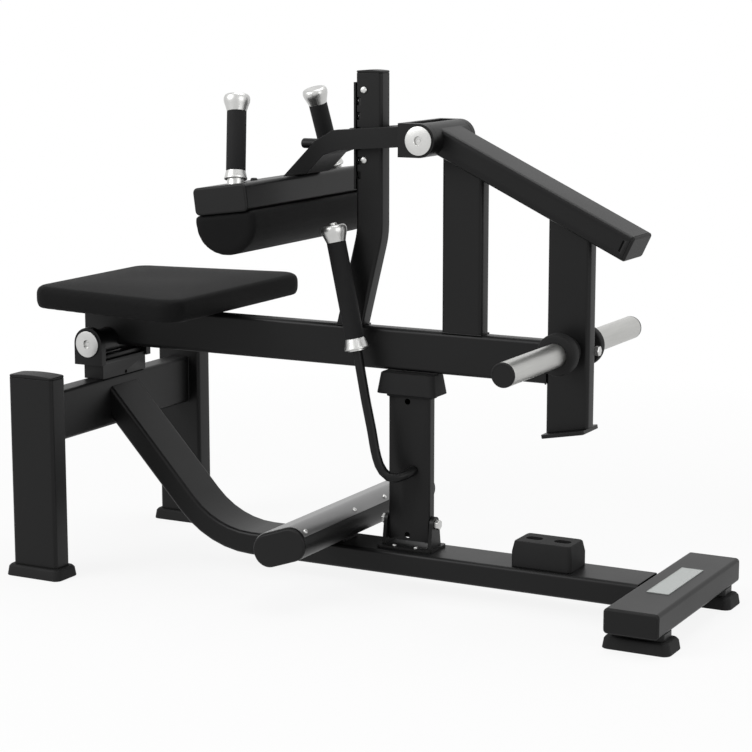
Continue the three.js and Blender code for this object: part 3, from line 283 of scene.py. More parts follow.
class Tree:
    """A node tree under construction."""

    def __init__(self, tree):
        self.tree = tree

    def node(self, kind, settings=None, sockets=None, output=0):
        """Adds one node with its settings, and the values or links of its sockets."""
        item = self.tree.nodes.new(kind)
        for key, value in (settings or {}).items():
            setattr(item, key, value)
        for key, value in (sockets or {}).items():
            if isinstance(value, Wire):
                self.tree.links.new(value.socket, item.inputs[key])
            else:
                item.inputs[key].default_value = value
        return Wire(self, item.outputs[output])

    def seen(self):
        """Is 1 for the camera and for what metal and glass mirror."""
        rays = ("Is Camera Ray", "Is Glossy Ray", "Is Transmission Ray")
        camera, glossy, through = (self.node("ShaderNodeLightPath", output=ray) for ray in rays)
        return camera + glossy + through

    def surface(self, output, shader):
        self.tree.links.new(shader.socket, self.tree.nodes[output].inputs["Surface"])


class Finish(Tree):
    """A material under construction."""

    def __init__(self, name, base, metallic, specular):
        self.material = bpy.data.materials.new(name)
        self.material.use_nodes = True
        super().__init__(self.material.node_tree)
        self.base = base
        self.shader = self.tree.nodes["Principled BSDF"]
        self.set("Base Color", (*base, 1))
        self.set("Metallic", metallic)
        self.set("Specular IOR Level", specular)

    def set(self, name, value):
        self.shader.inputs[name].default_value = value

    def link(self, name, wire):
        self.tree.links.new(wire.socket, self.shader.inputs[name])

    def place(self, stretch=(1, 1, 1)):
        """Object coordinates, stretched by a scale."""
        raw = self.node("ShaderNodeTexCoord", output="Object")
        return self.node("ShaderNodeMapping", {}, {"Vector": raw, "Scale": stretch})

    def noise(self, grain, detail=3, roughness=0.5, stretch=(1, 1, 1)):
        """Noise whose grain has a size."""
        vector = self.place(stretch)
        sockets = {"Vector": vector, "Scale": 1 / grain, "Detail": detail, "Roughness": roughness}
        return self.node("ShaderNodeTexNoise", {}, sockets)

    def cells(self, grain, feature="F1"):
        """Cells of a size."""
        sockets = {"Vector": self.place(), "Scale": 1 / grain}
        return self.node("ShaderNodeTexVoronoi", {"feature": feature}, sockets)

    def ramp(self, mask, low, high):
        """Stretches a mask so that low becomes 0 and high becomes 1."""
        return self.node("ShaderNodeMapRange", {}, {"Value": mask, "From Min": low, "From Max": high})

    def bump(self, height, depth, strength):
        """Feeds the shader's normal from a height in shares of the depth."""
        sockets = {"Height": height, "Distance": depth, "Strength": strength}
        self.link("Normal", self.node("ShaderNodeBump", {}, sockets))

    def rough(self, mask, start, end):
        """Lets the roughness run from start to end along the mask."""
        self.link("Roughness", mask * (end - start) + start)

    def tint(self, mask, dark, light):
        """Lets the base colour run from a darker to a lighter tone along the mask."""
        low, high = ((*(part * tone for part in self.base), 1) for tone in (dark, light))
        sockets = {0: mask, 6: low, 7: high}
        self.link("Base Color", self.node("ShaderNodeMix", {"data_type": "RGBA"}, sockets, output=2))


def powder_coat(finish, grains):
    """Black powder coat: fine orange peel with slow changes of gloss."""
    peel = finish.noise(grains.peel[0], detail=2)
    patches = finish.noise(grains.patch_size)
    finish.rough(patches, start=0.34, end=0.46)
    finish.tint(patches, dark=0.85, light=1.2)
    finish.bump(peel, grains.peel[1], strength=0.35)


def moulded_plastic(finish, grains):
    """Plug plastic with a spark-eroded grain."""
    grain = finish.noise(grains.mould[0], detail=2)
    finish.rough(grain, start=0.42, end=0.58)
    finish.bump(grain, grains.mould[1], strength=0.5)


def moulded_rubber(finish, grains):
    """Dense rubber, matt with a faint bloom."""
    bloom = finish.noise(grains.bloom_size, detail=4, roughness=0.6)
    pores = finish.noise(grains.pores[0], detail=2)
    finish.tint(bloom, dark=0.8, light=1.35)
    finish.rough(bloom, start=0.6, end=0.8)
    finish.bump(pores, grains.pores[1], strength=0.5)


def pad_vinyl(finish, grains):
    """Vinyl with a leather grain of small cells and creases."""
    creases = finish.ramp(finish.cells(grains.leather[0], "DISTANCE_TO_EDGE"), low=0, high=0.28)
    fine = finish.noise(grains.leather[0] / 2, detail=2)
    finish.tint(finish.noise(grains.patch_size), dark=0.85, light=1.2)
    finish.rough(creases, start=0.66, end=0.52)
    finish.bump(creases.blend(fine, other_share=0.2), grains.leather[1], strength=0.55)


def grip_rubber(finish, grains):
    """Hand grip rubber with fine raised points."""
    points = finish.cells(grains.points[0])
    handled = finish.noise(grains.bloom_size / 2)
    finish.tint(handled, dark=0.8, light=1.5)
    finish.rough(handled, start=0.64, end=0.8)
    finish.bump(points, grains.points[1], strength=0.7)


def turned_steel(finish, grains):
    """Bright steel with the fine marks of turning and polishing."""
    marks = finish.noise(grains.turning[0], roughness=0.6, stretch=(1, 1, 7))
    smears = finish.noise(grains.bloom_size / 2)
    finish.rough(marks.blend(smears, other_share=0.4), start=0.26, end=0.42)
    finish.tint(smears, dark=0.88, light=1.12)
    finish.bump(marks, grains.turning[1], strength=0.25)


def sleeve_steel(finish, grains):
    """Satin tube that weight plates have slid along."""
    rings = finish.noise(grains.turning[0], detail=4, roughness=0.65, stretch=(1, 9, 1))
    slides = finish.noise(grains.slide_size, roughness=0.6, stretch=(1, 0.06, 1))
    finish.rough(rings.blend(slides, other_share=0.5), start=0.3, end=0.48)
    finish.tint(slides, dark=0.86, light=1.14)
    finish.bump(rings, grains.turning[1], strength=0.3)


def brushed_sheet(finish, grains):
    """Brushed sheet with streaks along the foot bar."""
    streaks = finish.noise(grains.brush[0], detail=5, roughness=0.65, stretch=(6, 0.12, 6))
    smears = finish.noise(grains.bloom_size, stretch=(1, 0.4, 1))
    finish.tint(streaks.blend(smears, other_share=0.4), dark=0.72, light=1.3)
    finish.rough(streaks, start=0.28, end=0.44)
    finish.bump(streaks, grains.brush[1], strength=0.3)


def bare_plate(finish, grains):
    """Pale satin plate with nothing on it."""
    grain = finish.noise(grains.pores[0], detail=2, stretch=(1, 12, 1))
    finish.tint(grain, dark=0.94, light=1.04)
    finish.rough(grain, start=0.44, end=0.56)
    finish.bump(grain, grains.turning[1], strength=0.2)


# Maker, material slot in the record, metallic and specular share of each finish
FINISH_KINDS = {
    "paint": (powder_coat, "frame_paint", 0, 0.2),
    "plastic": (moulded_plastic, "black_plastic", 0, 0.2),
    "rubber": (moulded_rubber, "black_rubber", 0, 0.22),
    "cover": (pad_vinyl, "pad_cover", 0, 0.05),
    "grip": (grip_rubber, "grip_rubber", 0, 0.2),
    "tread": (brushed_sheet, "brushed_tread", 1, 0.5),
    "plate": (bare_plate, "bright_steel", 0, 0.5),
    "sleeve": (sleeve_steel, "bright_steel", 1, 0.5),
    "steel": (turned_steel, "bright_steel", 1, 0.5),
}
# The last finish of a slot is the one of its CAD nodes
FINISH_OF_SLOT = {slot: name for name, (maker, slot, *shares) in FINISH_KINDS.items()}
SLOT_OF_NODE = {entry["node"]: entry["material_slot"] for entry in frame["record"]["subparts"]}
FINISHES = {}


def finish_named(name):
    """The finish's material, made on first use."""
    if name not in FINISHES:
        scene = bpy.context.scene
        maker, slot, metallic, specular = FINISH_KINDS[name]
        label = maker.__name__.replace("_", " ")
        finish = Finish(label, getattr(scene.calf_colours, name), metallic, specular)
        maker(finish, scene.calf_grains)
        FINISHES[name] = finish.material
    return FINISHES[name]


def nodes_of(*slots):
    """Names of the CAD nodes in some material slots."""
    return [node for node, slot in SLOT_OF_NODE.items() if slot in slots]


def body_of(node):
    return frame["nodes"][node]["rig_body"]


def across(node):
    """Middle, radius, and near and far end of a node turned about a line across the machine."""
    low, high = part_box(node)
    near, far = sorted((abs(low.y), abs(high.y)))
    return (low + high) / 2, (high.z - low.z) / 2, near, far


def mirrored(point, sign):
    """A point on the left of the machine, or with sign -1 its twin on the right."""
    return Vector((point[0], sign * point[1], point[2]))


def deselect():
    bpy.ops.object.select_all(action="DESELECT")


def only(piece):
    """Selects one piece and nothing else."""
    deselect()
    piece.select_set(True)
    bpy.context.view_layer.objects.active = piece


@contextlib.contextmanager
def editing():
    """Edit mode on the active piece, with its whole mesh selected."""
    bpy.ops.object.mode_set(mode="EDIT")
    bpy.ops.mesh.select_all(action="SELECT")
    yield
    bpy.ops.object.mode_set(mode="OBJECT")


def modify(piece, kind, **settings):
    """Adds a modifier and applies it."""
    only(piece)
    modifier = piece.modifiers.new(kind.title(), kind)
    for key, value in settings.items():
        setattr(modifier, key, value)
    bpy.ops.object.modifier_apply(modifier=modifier.name)


def settle(piece):
    """Moves the piece's place into its mesh."""
    only(piece)
    bpy.ops.object.transform_apply(location=True, rotation=True, scale=True)


def aim(piece, at, direction):
    """Turns a piece's Z axis along a direction and moves its origin to a point."""
    piece.location = at
    piece.rotation_euler = Vector((0, 0, 1)).rotation_difference(Vector(direction)).to_euler()
    settle(piece)
    return piece


def wear(piece, finish, body, *nodes):
    """Gives a piece its material and its body, and hides the nodes that it stands for."""
    piece.data.materials.clear()
    piece.data.materials.append(finish_named(finish))
    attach(piece, body)
    if nodes:
        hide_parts(*nodes)
    return piece


def smoothed(piece, limit=SMOOTH_ANGLE):
    """Smooth shading except over sharp edges."""
    only(piece)
    bpy.ops.object.shade_smooth_by_angle(angle=limit)
    return piece


def named(piece, name):
    """Gives a piece and its mesh a name."""
    piece.name = name
    piece.data.name = name
    return piece


def copied(source, name):
    """A copy with its own mesh that stands for nothing yet."""
    piece = source.copy()
    piece.data = source.data.copy()
    piece.parent = None
    bpy.context.scene.collection.objects.link(piece)
    return named(piece, name)


def welded(node, name):
    """A copy of a node's loose triangles with their points joined."""
    piece = copied(frame["nodes"][node], name)
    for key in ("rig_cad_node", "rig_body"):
        del piece[key]
    only(piece)
    with editing():
        bpy.ops.mesh.remove_doubles(threshold=JOIN_DISTANCE)
    return piece


def dressed(node, edge=None, limit=SMOOTH_ANGLE):
    """A copy of a node with eased edges and smooth round stretches."""
    piece = welded(node, f"{node}_dressed")
    with editing():
        bpy.ops.mesh.dissolve_limited(angle_limit=FLAT_ANGLE)
    modify(
        piece, "BEVEL", width=edge or bpy.context.scene.calf_metal.edge, segments=2,
        limit_method="ANGLE", angle_limit=EDGE_ANGLE, use_clamp_overlap=True, miter_outer="MITER_ARC",
    )
    smoothed(piece, limit)
    modify(piece, "WEIGHTED_NORMAL", keep_sharp=True)
    return wear(piece, FINISH_OF_SLOT[SLOT_OF_NODE[node]], body_of(node), node)


def ring(name, radius, facets, height=0):
    """A filled circle about Z, to be extruded."""
    deselect()
    bpy.ops.mesh.primitive_circle_add(
        vertices=facets, radius=radius, fill_type="NGON", location=(0, 0, height)
    )
    return named(bpy.context.object, name)


def extend(step, change, centre):
    """Extrudes the selected end by a step and resizes it about a point."""
    bpy.ops.mesh.extrude_region_move(TRANSFORM_OT_translate={"value": step})
    bpy.ops.transform.resize(value=change, center_override=centre)


def face_outward():
    """Turns all normals outward."""
    bpy.ops.mesh.select_all(action="SELECT")
    bpy.ops.mesh.normals_make_consistent(inside=False)


def turned(name, profile, facets=FACETS):
    """Turns radius and height pairs about Z: a disc extruded and resized ring by ring."""
    radius, height = profile[0]
    piece = ring(name, radius, facets, height)
    settle(piece)
    with editing():
        for next_radius, next_height in profile[1:]:
            change = next_radius / radius
            extend((0, 0, next_height - height), (change, change, 1), (0, 0, next_height))
            radius, height = next_radius, next_height
        face_outward()
    return smoothed(piece)


def stamped(model, name, at, direction, finish, body, *nodes):
    """A copy of a model in its place, with its finish, body and nodes."""
    return wear(aim(copied(model, name), at, direction), finish, body, *nodes)


def discard(*pieces):
    for piece in pieces:
        bpy.data.objects.remove(piece)


def arc(radius, height, width, start, stop, steps=5, rise=None):
    """Profile points round a corner, its angles in degrees from the outward direction."""
    points = []
    for i in range(steps + 1):
        turn = math.radians(start + (stop - start) * i / steps)
        points.append((radius + width * math.cos(turn), height + (rise or width) * math.sin(turn)))
    return points


def domed(name, radius):
    """A low button head."""
    shoulder = radius / 8
    crown = arc(radius / 2, shoulder, radius / 2, 0, 85)
    return turned(name, [(radius, -radius / 4), (radius, shoulder)] + crown, SCREW_FACETS)


def block(name, middle, sides):
    """A plain block, to be eased or cut with."""
    deselect()
    bpy.ops.mesh.primitive_cube_add(size=1, location=middle)
    piece = named(bpy.context.object, name)
    piece.scale = sides
    return piece


def slab(name, corner, opposite):
    """A block between two corners, with eased edges."""
    corner, opposite = Vector(corner), Vector(opposite)
    sides = [abs(side) for side in opposite - corner]
    piece = block(name, (corner + opposite) / 2, sides)
    settle(piece)
    modify(piece, "BEVEL", width=min(sides) / 4, segments=2, limit_method="ANGLE")
    return smoothed(piece)


def cut(piece, tool):
    """Takes a tool's space out of a piece."""
    modify(piece, "BOOLEAN", operation="DIFFERENCE", solver="EXACT", object=tool)
    discard(tool)


def bored(piece, at, direction, radius):
    """Cuts a round hole as deep as its radius."""
    cut(piece, aim(turned("bore", [(radius, -radius), (radius, radius)], BORE_FACETS), at, direction))


class CALF_OT_stage(bpy.types.Operator):
    """Builds the floor, the lamps and the camera"""

    bl_idname = "calf.stage"
    bl_label = "Studio"

    def execute(self, context):
        stage = context.scene.calf_stage
        deselect()
        bpy.ops.mesh.primitive_plane_add(size=stage.floor_size, location=(0, 0, -stage.floor_gap))
        floor = named(context.object, "studio_floor")
        settle(floor)
        floor.data.materials.append(self.floor_material(stage, context.scene.calf_colours.floor))
        for name in ("key", "top", "side"):
            light = bpy.data.lights.new(f"{name}_lamp", "AREA")
            light.energy = getattr(stage, f"{name}_power")
            light.size = stage.lamp_size
            self.holder(light, getattr(stage, f"{name}_place"), stage.camera_aim)
        self.room(context, stage)
        camera = bpy.data.cameras.new("camera")
        camera.lens = stage.lens
        camera.sensor_width = stage.sensor
        camera.clip_end = stage.far_clip
        context.scene.camera = self.holder(camera, stage.camera_place, stage.camera_aim)
        context.scene.view_settings.view_transform = "Standard"
        return {"FINISHED"}

    def room(self, context, stage):
        """White surroundings that light the machine less than they are seen."""
        world = bpy.data.worlds.new("studio")
        world.use_nodes = True
        context.scene.world = world
        tree = Tree(world.node_tree)
        white = (1, 1, 1, 1)
        light = tree.node("ShaderNodeBackground", {}, {"Color": white, "Strength": stage.room_light})
        backdrop = tree.node("ShaderNodeBackground", {}, {"Color": white, "Strength": 1})
        sockets = {0: tree.seen(), 1: light, 2: backdrop}
        tree.surface("World Output", tree.node("ShaderNodeMixShader", {}, sockets))

    def floor_material(self, stage, white):
        """White floor that keeps a soft shadow near the machine."""
        finish = Finish("floor", white, metallic=0, specular=0)
        finish.set("Roughness", stage.floor_roughness)
        spot = finish.place()
        distance = finish.node("ShaderNodeVectorMath", {"operation": "LENGTH"}, {0: spot}, output="Value")
        away = finish.ramp(distance, stage.shadow_near, stage.shadow_far)
        white_share = away * (1 - stage.floor_share) + stage.floor_share
        glow = finish.node("ShaderNodeEmission", {}, {"Strength": 1})
        lit = Wire(finish, finish.shader.outputs[0])
        sockets = {0: finish.seen() * white_share, 1: lit, 2: glow}
        finish.surface("Material Output", finish.node("ShaderNodeMixShader", {}, sockets))
        return finish.material

    def holder(self, data, at, target):
        """An object at a place that looks at a target."""
        item = bpy.data.objects.new(data.name, data)
        bpy.context.scene.collection.objects.link(item)
        item.location = at
        item.rotation_euler = (Vector(target) - Vector(at)).to_track_quat("-Z", "Y").to_euler()
        return item


class CALF_OT_frame(bpy.types.Operator):
    """Dresses the painted tubes, brackets and plates"""

    bl_idname = "calf.frame"
    bl_label = "Painted frame"

    def execute(self, context):
        fasteners = context.scene.calf_fasteners
        for node in nodes_of("frame_paint"):
            if node not in ("pull_pin", "prop_rod"):
                dressed(node)
        dressed("prop_rod", limit=ROD_ANGLE)
        self.small_holes(fasteners)
        self.slot(fasteners)
        # Painted shade: black strips inside the upright close its notches from behind, standing in for the
        # shade inside the tube
        for side, sign in SIDES:
            corners = (mirrored(corner, sign) for corner in (fasteners.liner_low, fasteners.liner_high))
            wear(slab(f"notch_liner_{side}", *corners), "paint", "lever")
        wear(slab("pivot_rise", fasteners.rise_low, fasteners.rise_high), "paint", "base")
        return {"FINISHED"}

    def small_holes(self, fasteners):
        """Drain and vent holes in the prop's post and the pivot block."""
        along, *heights = fasteners.post_holes
        post = bpy.data.objects["prop_post_dressed"]
        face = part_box("prop_post")[0].y
        for height in heights:
            bored(post, (along, face, height), (0, -1, 0), fasteners.post_hole_radius)
        bracket = bpy.data.objects["pivot_bracket_dressed"]
        bored(bracket, fasteners.block_hole, (1, 0, 0), fasteners.hole_radius)
        for piece in (post, bracket):
            smoothed(piece)

    def slot(self, fasteners):
        """The slot that holds the head beam's plug."""
        beam = bpy.data.objects["head_beam_dressed"]
        length, width, depth = fasteners.slot_size
        tool = block("slot", fasteners.slot_place, (width, 2 * depth, length))
        tool.rotation_euler.y = fasteners.beam_slope
        settle(tool)
        cut(beam, tool)
        smoothed(beam)


class CALF_OT_welds(bpy.types.Operator):
    """Lays weld beads where the painted tubes meet"""

    bl_idname = "calf.welds"
    bl_label = "Weld beads"

    def execute(self, context):
        cross_low, cross_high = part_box("rear_cross_tube")
        beam_low, beam_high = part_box("lever_beam")
        cross_line = (
            (cross_high.x, cross_high.y, cross_low.z), cross_high, (cross_low.x, cross_high.y, cross_high.z),
        )
        front_line = ((beam_high.x, beam_high.y, beam_low.z), beam_high)
        rear_line = self.foot_line("rear_lever_post", beam_high.z)
        upright_line = self.foot_line("upright_tube", beam_high.z)
        for side, sign in SIDES:
            for name, body, line in (
                ("post", "base", cross_line), ("rear_post", "lever", rear_line),
                ("front_post", "lever", front_line), ("upright", "lever", upright_line),
            ):
                self.bead(f"weld_{name}_{side}", body, [mirrored(corner, sign) for corner in line])
        return {"FINISHED"}

    def foot_line(self, node, height):
        """The two ends of the left side of a tube that stands on the beam."""
        points = [point.co for point in frame["nodes"][node].data.vertices]
        lowest = min(point.z for point in points)
        foot = [point for point in points if point.z < lowest + bpy.context.scene.calf_metal.edge]
        side = max(point.y for point in foot)
        along = [point.x for point in foot]
        return (min(along), side, height), (max(along), side, height)

    def bead(self, name, body, corners):
        """A rippled bead along straight lines: a ring extruded step by step."""
        welds = bpy.context.scene.calf_welds
        at = corners[0]
        piece = aim(ring(name, welds.radius, BEAD_FACETS), at, corners[1] - at)
        waist = 1 - welds.ripple_share
        with editing():
            for corner in corners[1:]:
                ripples = max(1, round((corner - at).length / welds.pitch / 2))
                step = (corner - at) / ripples / 2
                for change in (waist, 1 / waist) * ripples:
                    at = at + step
                    extend(step, (change, change, change), at)
            face_outward()
        wear(smoothed(piece, BEAD_ANGLE), "paint", body)


class CALF_OT_rubber(bpy.types.Operator):
    """Dresses the rubber feet, stops and plastic plugs"""

    bl_idname = "calf.rubber"
    bl_label = "Rubber and plugs"

    def execute(self, context):
        for node in nodes_of("black_rubber", "black_plastic"):
            if not node.startswith("horn_"):
                dressed(node, context.scene.calf_metal.soft_edge)
        return {"FINISHED"}


class CALF_OT_pads(bpy.types.Operator):
    """Upholsters the seat and the knee pad"""

    bl_idname = "calf.pads"
    bl_label = "Pads"

    def execute(self, context):
        pads = context.scene.calf_pads
        self.pad("seat_pad", pads, -1, pads.seat_held)
        self.pad("knee_pad", pads, 1, pads.knee_held)
        return {"FINISHED"}

    def pad(self, node, pads, board_side, held_share):
        """A padded cover whose board side stays flat."""
        piece = welded(node, f"{node}_upholstered")
        self.grow(piece, -pads.slack)
        modify(piece, "REMESH", mode="VOXEL", voxel_size=pads.voxel, use_smooth_shade=True)
        self.swell(piece, pads, board_side, held_share)
        modify(piece, "SMOOTH", factor=0.5, iterations=2)
        self.grow(piece, pads.plump)
        low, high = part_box(node)
        for vertex in piece.data.vertices:
            vertex.co.z = min(vertex.co.z, high.z) if board_side > 0 else max(vertex.co.z, low.z)
        modify(piece, "SUBSURF", levels=1, render_levels=1)
        only(piece)
        bpy.ops.object.shade_smooth()
        wear(piece, "cover", body_of(node), node)

    def grow(self, piece, amount):
        """Moves the surface out evenly, or in by a negative amount."""
        only(piece)
        with editing():
            bpy.ops.transform.shrink_fatten(value=amount)

    def swell(self, piece, pads, board_side, held_share):
        """Blows the cover up by cloth pressure and caps how far it moves."""
        vertices = piece.data.vertices
        rest = [vertex.co.copy() for vertex in vertices]
        held = [vertex.index for vertex in vertices if vertex.normal.z * board_side > -held_share]
        group = piece.vertex_groups.new(name="board side and walls")
        group.add(held, 1, "REPLACE")
        only(piece)
        cloth = piece.modifiers.new("Cloth", "CLOTH")
        cloth.settings.vertex_group_mass = group.name
        cloth.settings.use_pressure = True
        cloth.settings.uniform_pressure_force = pads.pressure
        cloth.settings.effector_weights.gravity = 0
        for moment in range(CLOTH_FRAMES):
            bpy.context.scene.frame_set(moment + 1)
        bpy.ops.object.modifier_apply(modifier=cloth.name)
        bpy.context.scene.frame_set(1)
        for vertex, before in zip(piece.data.vertices, rest):
            move = vertex.co - before
            if move.length > pads.swell:
                vertex.co = before + move.normalized() * pads.swell


class CALF_OT_handles(bpy.types.Operator):
    """Turns the knobs, ferrules and grips of the three handles"""

    bl_idname = "calf.handles"
    bl_label = "Handles"

    # Radius and height of the knob's outline, from its grip to its dished top
    knob_shares = (
        (0.74, 0), (0.78, 0.1), (0.84, 0.25), (0.91, 0.4), (0.97, 0.53), (1, 0.66),
        (0.995, 0.78), (0.96, 0.88), (0.89, 0.955), (0.8, 0.99), (0.7, 1), (0.55, 0.965), (0.32, 0.94),
    )

    def execute(self, context):
        sizes = context.scene.calf_handles
        length = sizes.grip_length
        core = self.core("core", sizes, sizes.ferrule_radius, sizes.neck_length, length, sizes.skirt)
        grip = self.grip("grip", sizes, length)
        for side, sign in SIDES:
            line = mirrored(sizes.foot, sign), mirrored(sizes.lean, sign)
            stamped(core, f"handle_{side}_steel", *line, "steel", "pad_arm", f"handle_core_{side}")
            stamped(grip, f"handle_{side}_grip", *line, "grip", "pad_arm", f"handle_grip_{side}")
        discard(core, grip)
        neck, length = sizes.prop_neck_length, sizes.prop_grip_length
        core = self.core("prop_handle_steel", sizes, sizes.prop_ferrule_radius, neck, length, 0, True)
        grip = self.grip("prop_handle_grip", sizes, length)
        for piece, finish, node in ((core, "steel", "prop_handle_core"), (grip, "grip", "prop_grip")):
            wear(aim(piece, sizes.prop_foot, sizes.prop_lean), finish, "prop", node)
        return {"FINISHED"}

    def core(self, name, sizes, lip_radius, lip_low, length, skirt, button=False):
        """Neck, ferrule, core and knob in one."""
        edge = sizes.edge
        neck = lip_radius - sizes.neck_step
        grip_top = sizes.ferrule_length + length
        profile = [(neck, -skirt), (neck, lip_low), (lip_radius - edge, lip_low)]
        profile += arc(lip_radius - edge, lip_low + edge, edge, -60, 0, 2)
        profile += arc(lip_radius - edge, lip_low + sizes.lip, edge, 0, 60, 2)
        profile += [
            (sizes.grip_radius, sizes.ferrule_length - edge),
            (sizes.grip_radius - edge, sizes.ferrule_length),
            (sizes.core_radius, sizes.ferrule_length),
            (sizes.core_radius, grip_top),
        ]
        radius, height = sizes.knob
        profile += [(radius * out, grip_top + height * up) for out, up in self.knob_shares]
        if button:
            top = grip_top + height
            radius, height = sizes.button
            profile += [(radius, top - height / 2), (radius, top + height - edge)]
            profile.append((radius - edge, top + height))
        return turned(name, profile)

    def grip(self, name, sizes, length):
        """A rubber sleeve with rounded ends."""
        edge = sizes.edge
        low = sizes.ferrule_length
        high = low + length
        radius = sizes.grip_radius - edge
        profile = [(radius - edge, low)] + arc(radius, low + edge, edge, -90, 0, 3)
        profile += arc(radius, high - edge, edge, 0, 90, 3) + [(radius - edge, high)]
        return turned(name, profile)


class CALF_OT_foot_bar(bpy.types.Operator):
    """Rivets the tread sheet to the foot bar"""

    bl_idname = "calf.foot_bar"
    bl_label = "Foot bar"

    def execute(self, context):
        dressed("foot_bar_tread", context.scene.calf_metal.fine_edge)
        fasteners = context.scene.calf_fasteners
        along, height, inner = fasteners.rivets
        out = (math.cos(fasteners.rivet_tilt), 0, math.sin(fasteners.rivet_tilt))
        rivet = domed("rivet", fasteners.rivet_radius)
        for side, sign in SIDES:
            for row, spot in (("inner", inner), ("outer", fasteners.rivet_end)):
                at = (along, sign * spot, height)
                stamped(rivet, f"tread_rivet_{row}_{side}", at, out, "steel", "base")
        discard(rivet)
        return {"FINISHED"}


class CALF_OT_axles(bpy.types.Operator):
    """Turns the two hinge axles with their bright discs"""

    bl_idname = "calf.axles"
    bl_label = "Axles"

    def execute(self, context):
        metal = context.scene.calf_metal
        middle, radius, face, end = across("rear_axle_disc")
        edge, shaft = metal.fine_edge, metal.shaft_radius
        socket, depth = metal.socket
        floor = end - depth
        rim = [(radius, face)] + arc(radius - edge, end - edge, edge, 0, 90, 3)
        head = turned("head", [(shaft, metal.axle_recess - end), (shaft, face)] + rim + [
            (socket + edge, end),
            (socket, end - edge),
            (socket, floor),
            (socket / 2, floor),
            (socket / 2 - edge, floor + edge),
        ])
        disc = turned("disc", [(shaft, face)] + rim + [(shaft, end), (shaft, end - metal.axle_recess)])
        for name, body in (("rear_axle", "base"), ("head_axle", "pad_arm")):
            at = mirrored(across(f"{name}_disc")[0], 0)
            stamped(head, f"{name}_turned", at, (0, -1, 0), "steel", body, name)
            stamped(disc, f"{name}_disc_turned", at, (0, 1, 0), "steel", body, f"{name}_disc")
        discard(head, disc)
        self.washer(metal)
        return {"FINISHED"}

    def washer(self, metal):
        """The bright washer between hub and near ear."""
        edge = metal.fine_edge
        radius, width = metal.washer
        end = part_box("lever_hub")[1].y
        start = end - width
        profile = [(radius - edge, start), (radius, start + edge)]
        profile += [(radius, end - edge), (radius - edge, end)]
        at = mirrored(across("head_axle_disc")[0], 0)
        wear(aim(turned("head_washer", profile), at, (0, -1, 0)), "steel", "lever")


class CALF_OT_horns(bpy.types.Operator):
    """Turns the plate stops, sleeves and plugs of the weight horns"""

    bl_idname = "calf.horns"
    bl_label = "Weight horns"

    def execute(self, context):
        metal = context.scene.calf_metal
        middle, collar_radius, stub_start, collar_end = across("horn_collar_left")
        radius, sleeve_start, sleeve_end = across("horn_sleeve_left")[1:]
        plug_end = across("horn_end_cap_left")[3]
        edge, stub = metal.fine_edge, metal.stub_radius
        taper, flank = metal.flank
        collar_start = collar_end - metal.collar_width
        bend = metal.collar_edge
        profile = [(stub - edge, stub_start), (stub, stub_start + edge), (stub, collar_start)]
        profile += arc(collar_radius - bend, collar_start + bend, bend, -90, 0)
        profile += arc(collar_radius - taper, collar_end - flank, taper, 0, 90, 6, flank)
        profile += [(radius + edge, collar_end), (radius + edge, sleeve_start)]
        collar = turned("collar", profile, FINE_FACETS)
        profile = [(radius, sleeve_start), (radius, sleeve_end - edge), (radius - edge, sleeve_end)]
        sleeve = turned("sleeve", profile, FINE_FACETS)
        bend, groove = metal.plug_edge, radius - metal.plug_rim
        profile = [(radius, sleeve_end + edge / 2)] + arc(radius - bend, plug_end - bend, bend, 0, 90)
        profile += [(groove, plug_end), (groove - edge, plug_end - edge)]
        plug = turned("plug", profile, FINE_FACETS)
        for side, sign in SIDES:
            line = mirrored(middle, 0), (0, sign, 0)
            stamped(collar, f"horn_collar_{side}_turned", *line, "rubber", "lever", f"horn_collar_{side}")
            stamped(sleeve, f"horn_sleeve_{side}_turned", *line, "sleeve", "lever", f"horn_sleeve_{side}")
            stamped(plug, f"horn_plug_{side}", *line, "plastic", "lever", f"horn_end_cap_{side}")
        discard(collar, sleeve, plug)
        return {"FINISHED"}


class CALF_OT_pull_pin(bpy.types.Operator):
    """Turns the pull pin"""

    bl_idname = "calf.pull_pin"
    bl_label = "Pull pin"

    def execute(self, context):
        metal = context.scene.calf_metal
        low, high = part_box("pull_pin")
        radius = (high.z - low.z) / 2
        length = high.x - low.x
        edge, pin, bar_end = metal.fine_edge, metal.pin_radius, metal.pin_bar_length
        profile = arc(radius / 2, radius / 2, radius / 2, -85, 0, 6)
        profile += [(radius, bar_end - edge), (radius - edge, bar_end), (pin, bar_end)]
        profile += [(pin, length - 2 * edge), (pin - 2 * edge, length)]
        piece = aim(turned("pull_pin_turned", profile), (low.x, 0, (low.z + high.z) / 2), (1, 0, 0))
        wear(piece, "paint", "pull_pin", "pull_pin")
        return {"FINISHED"}


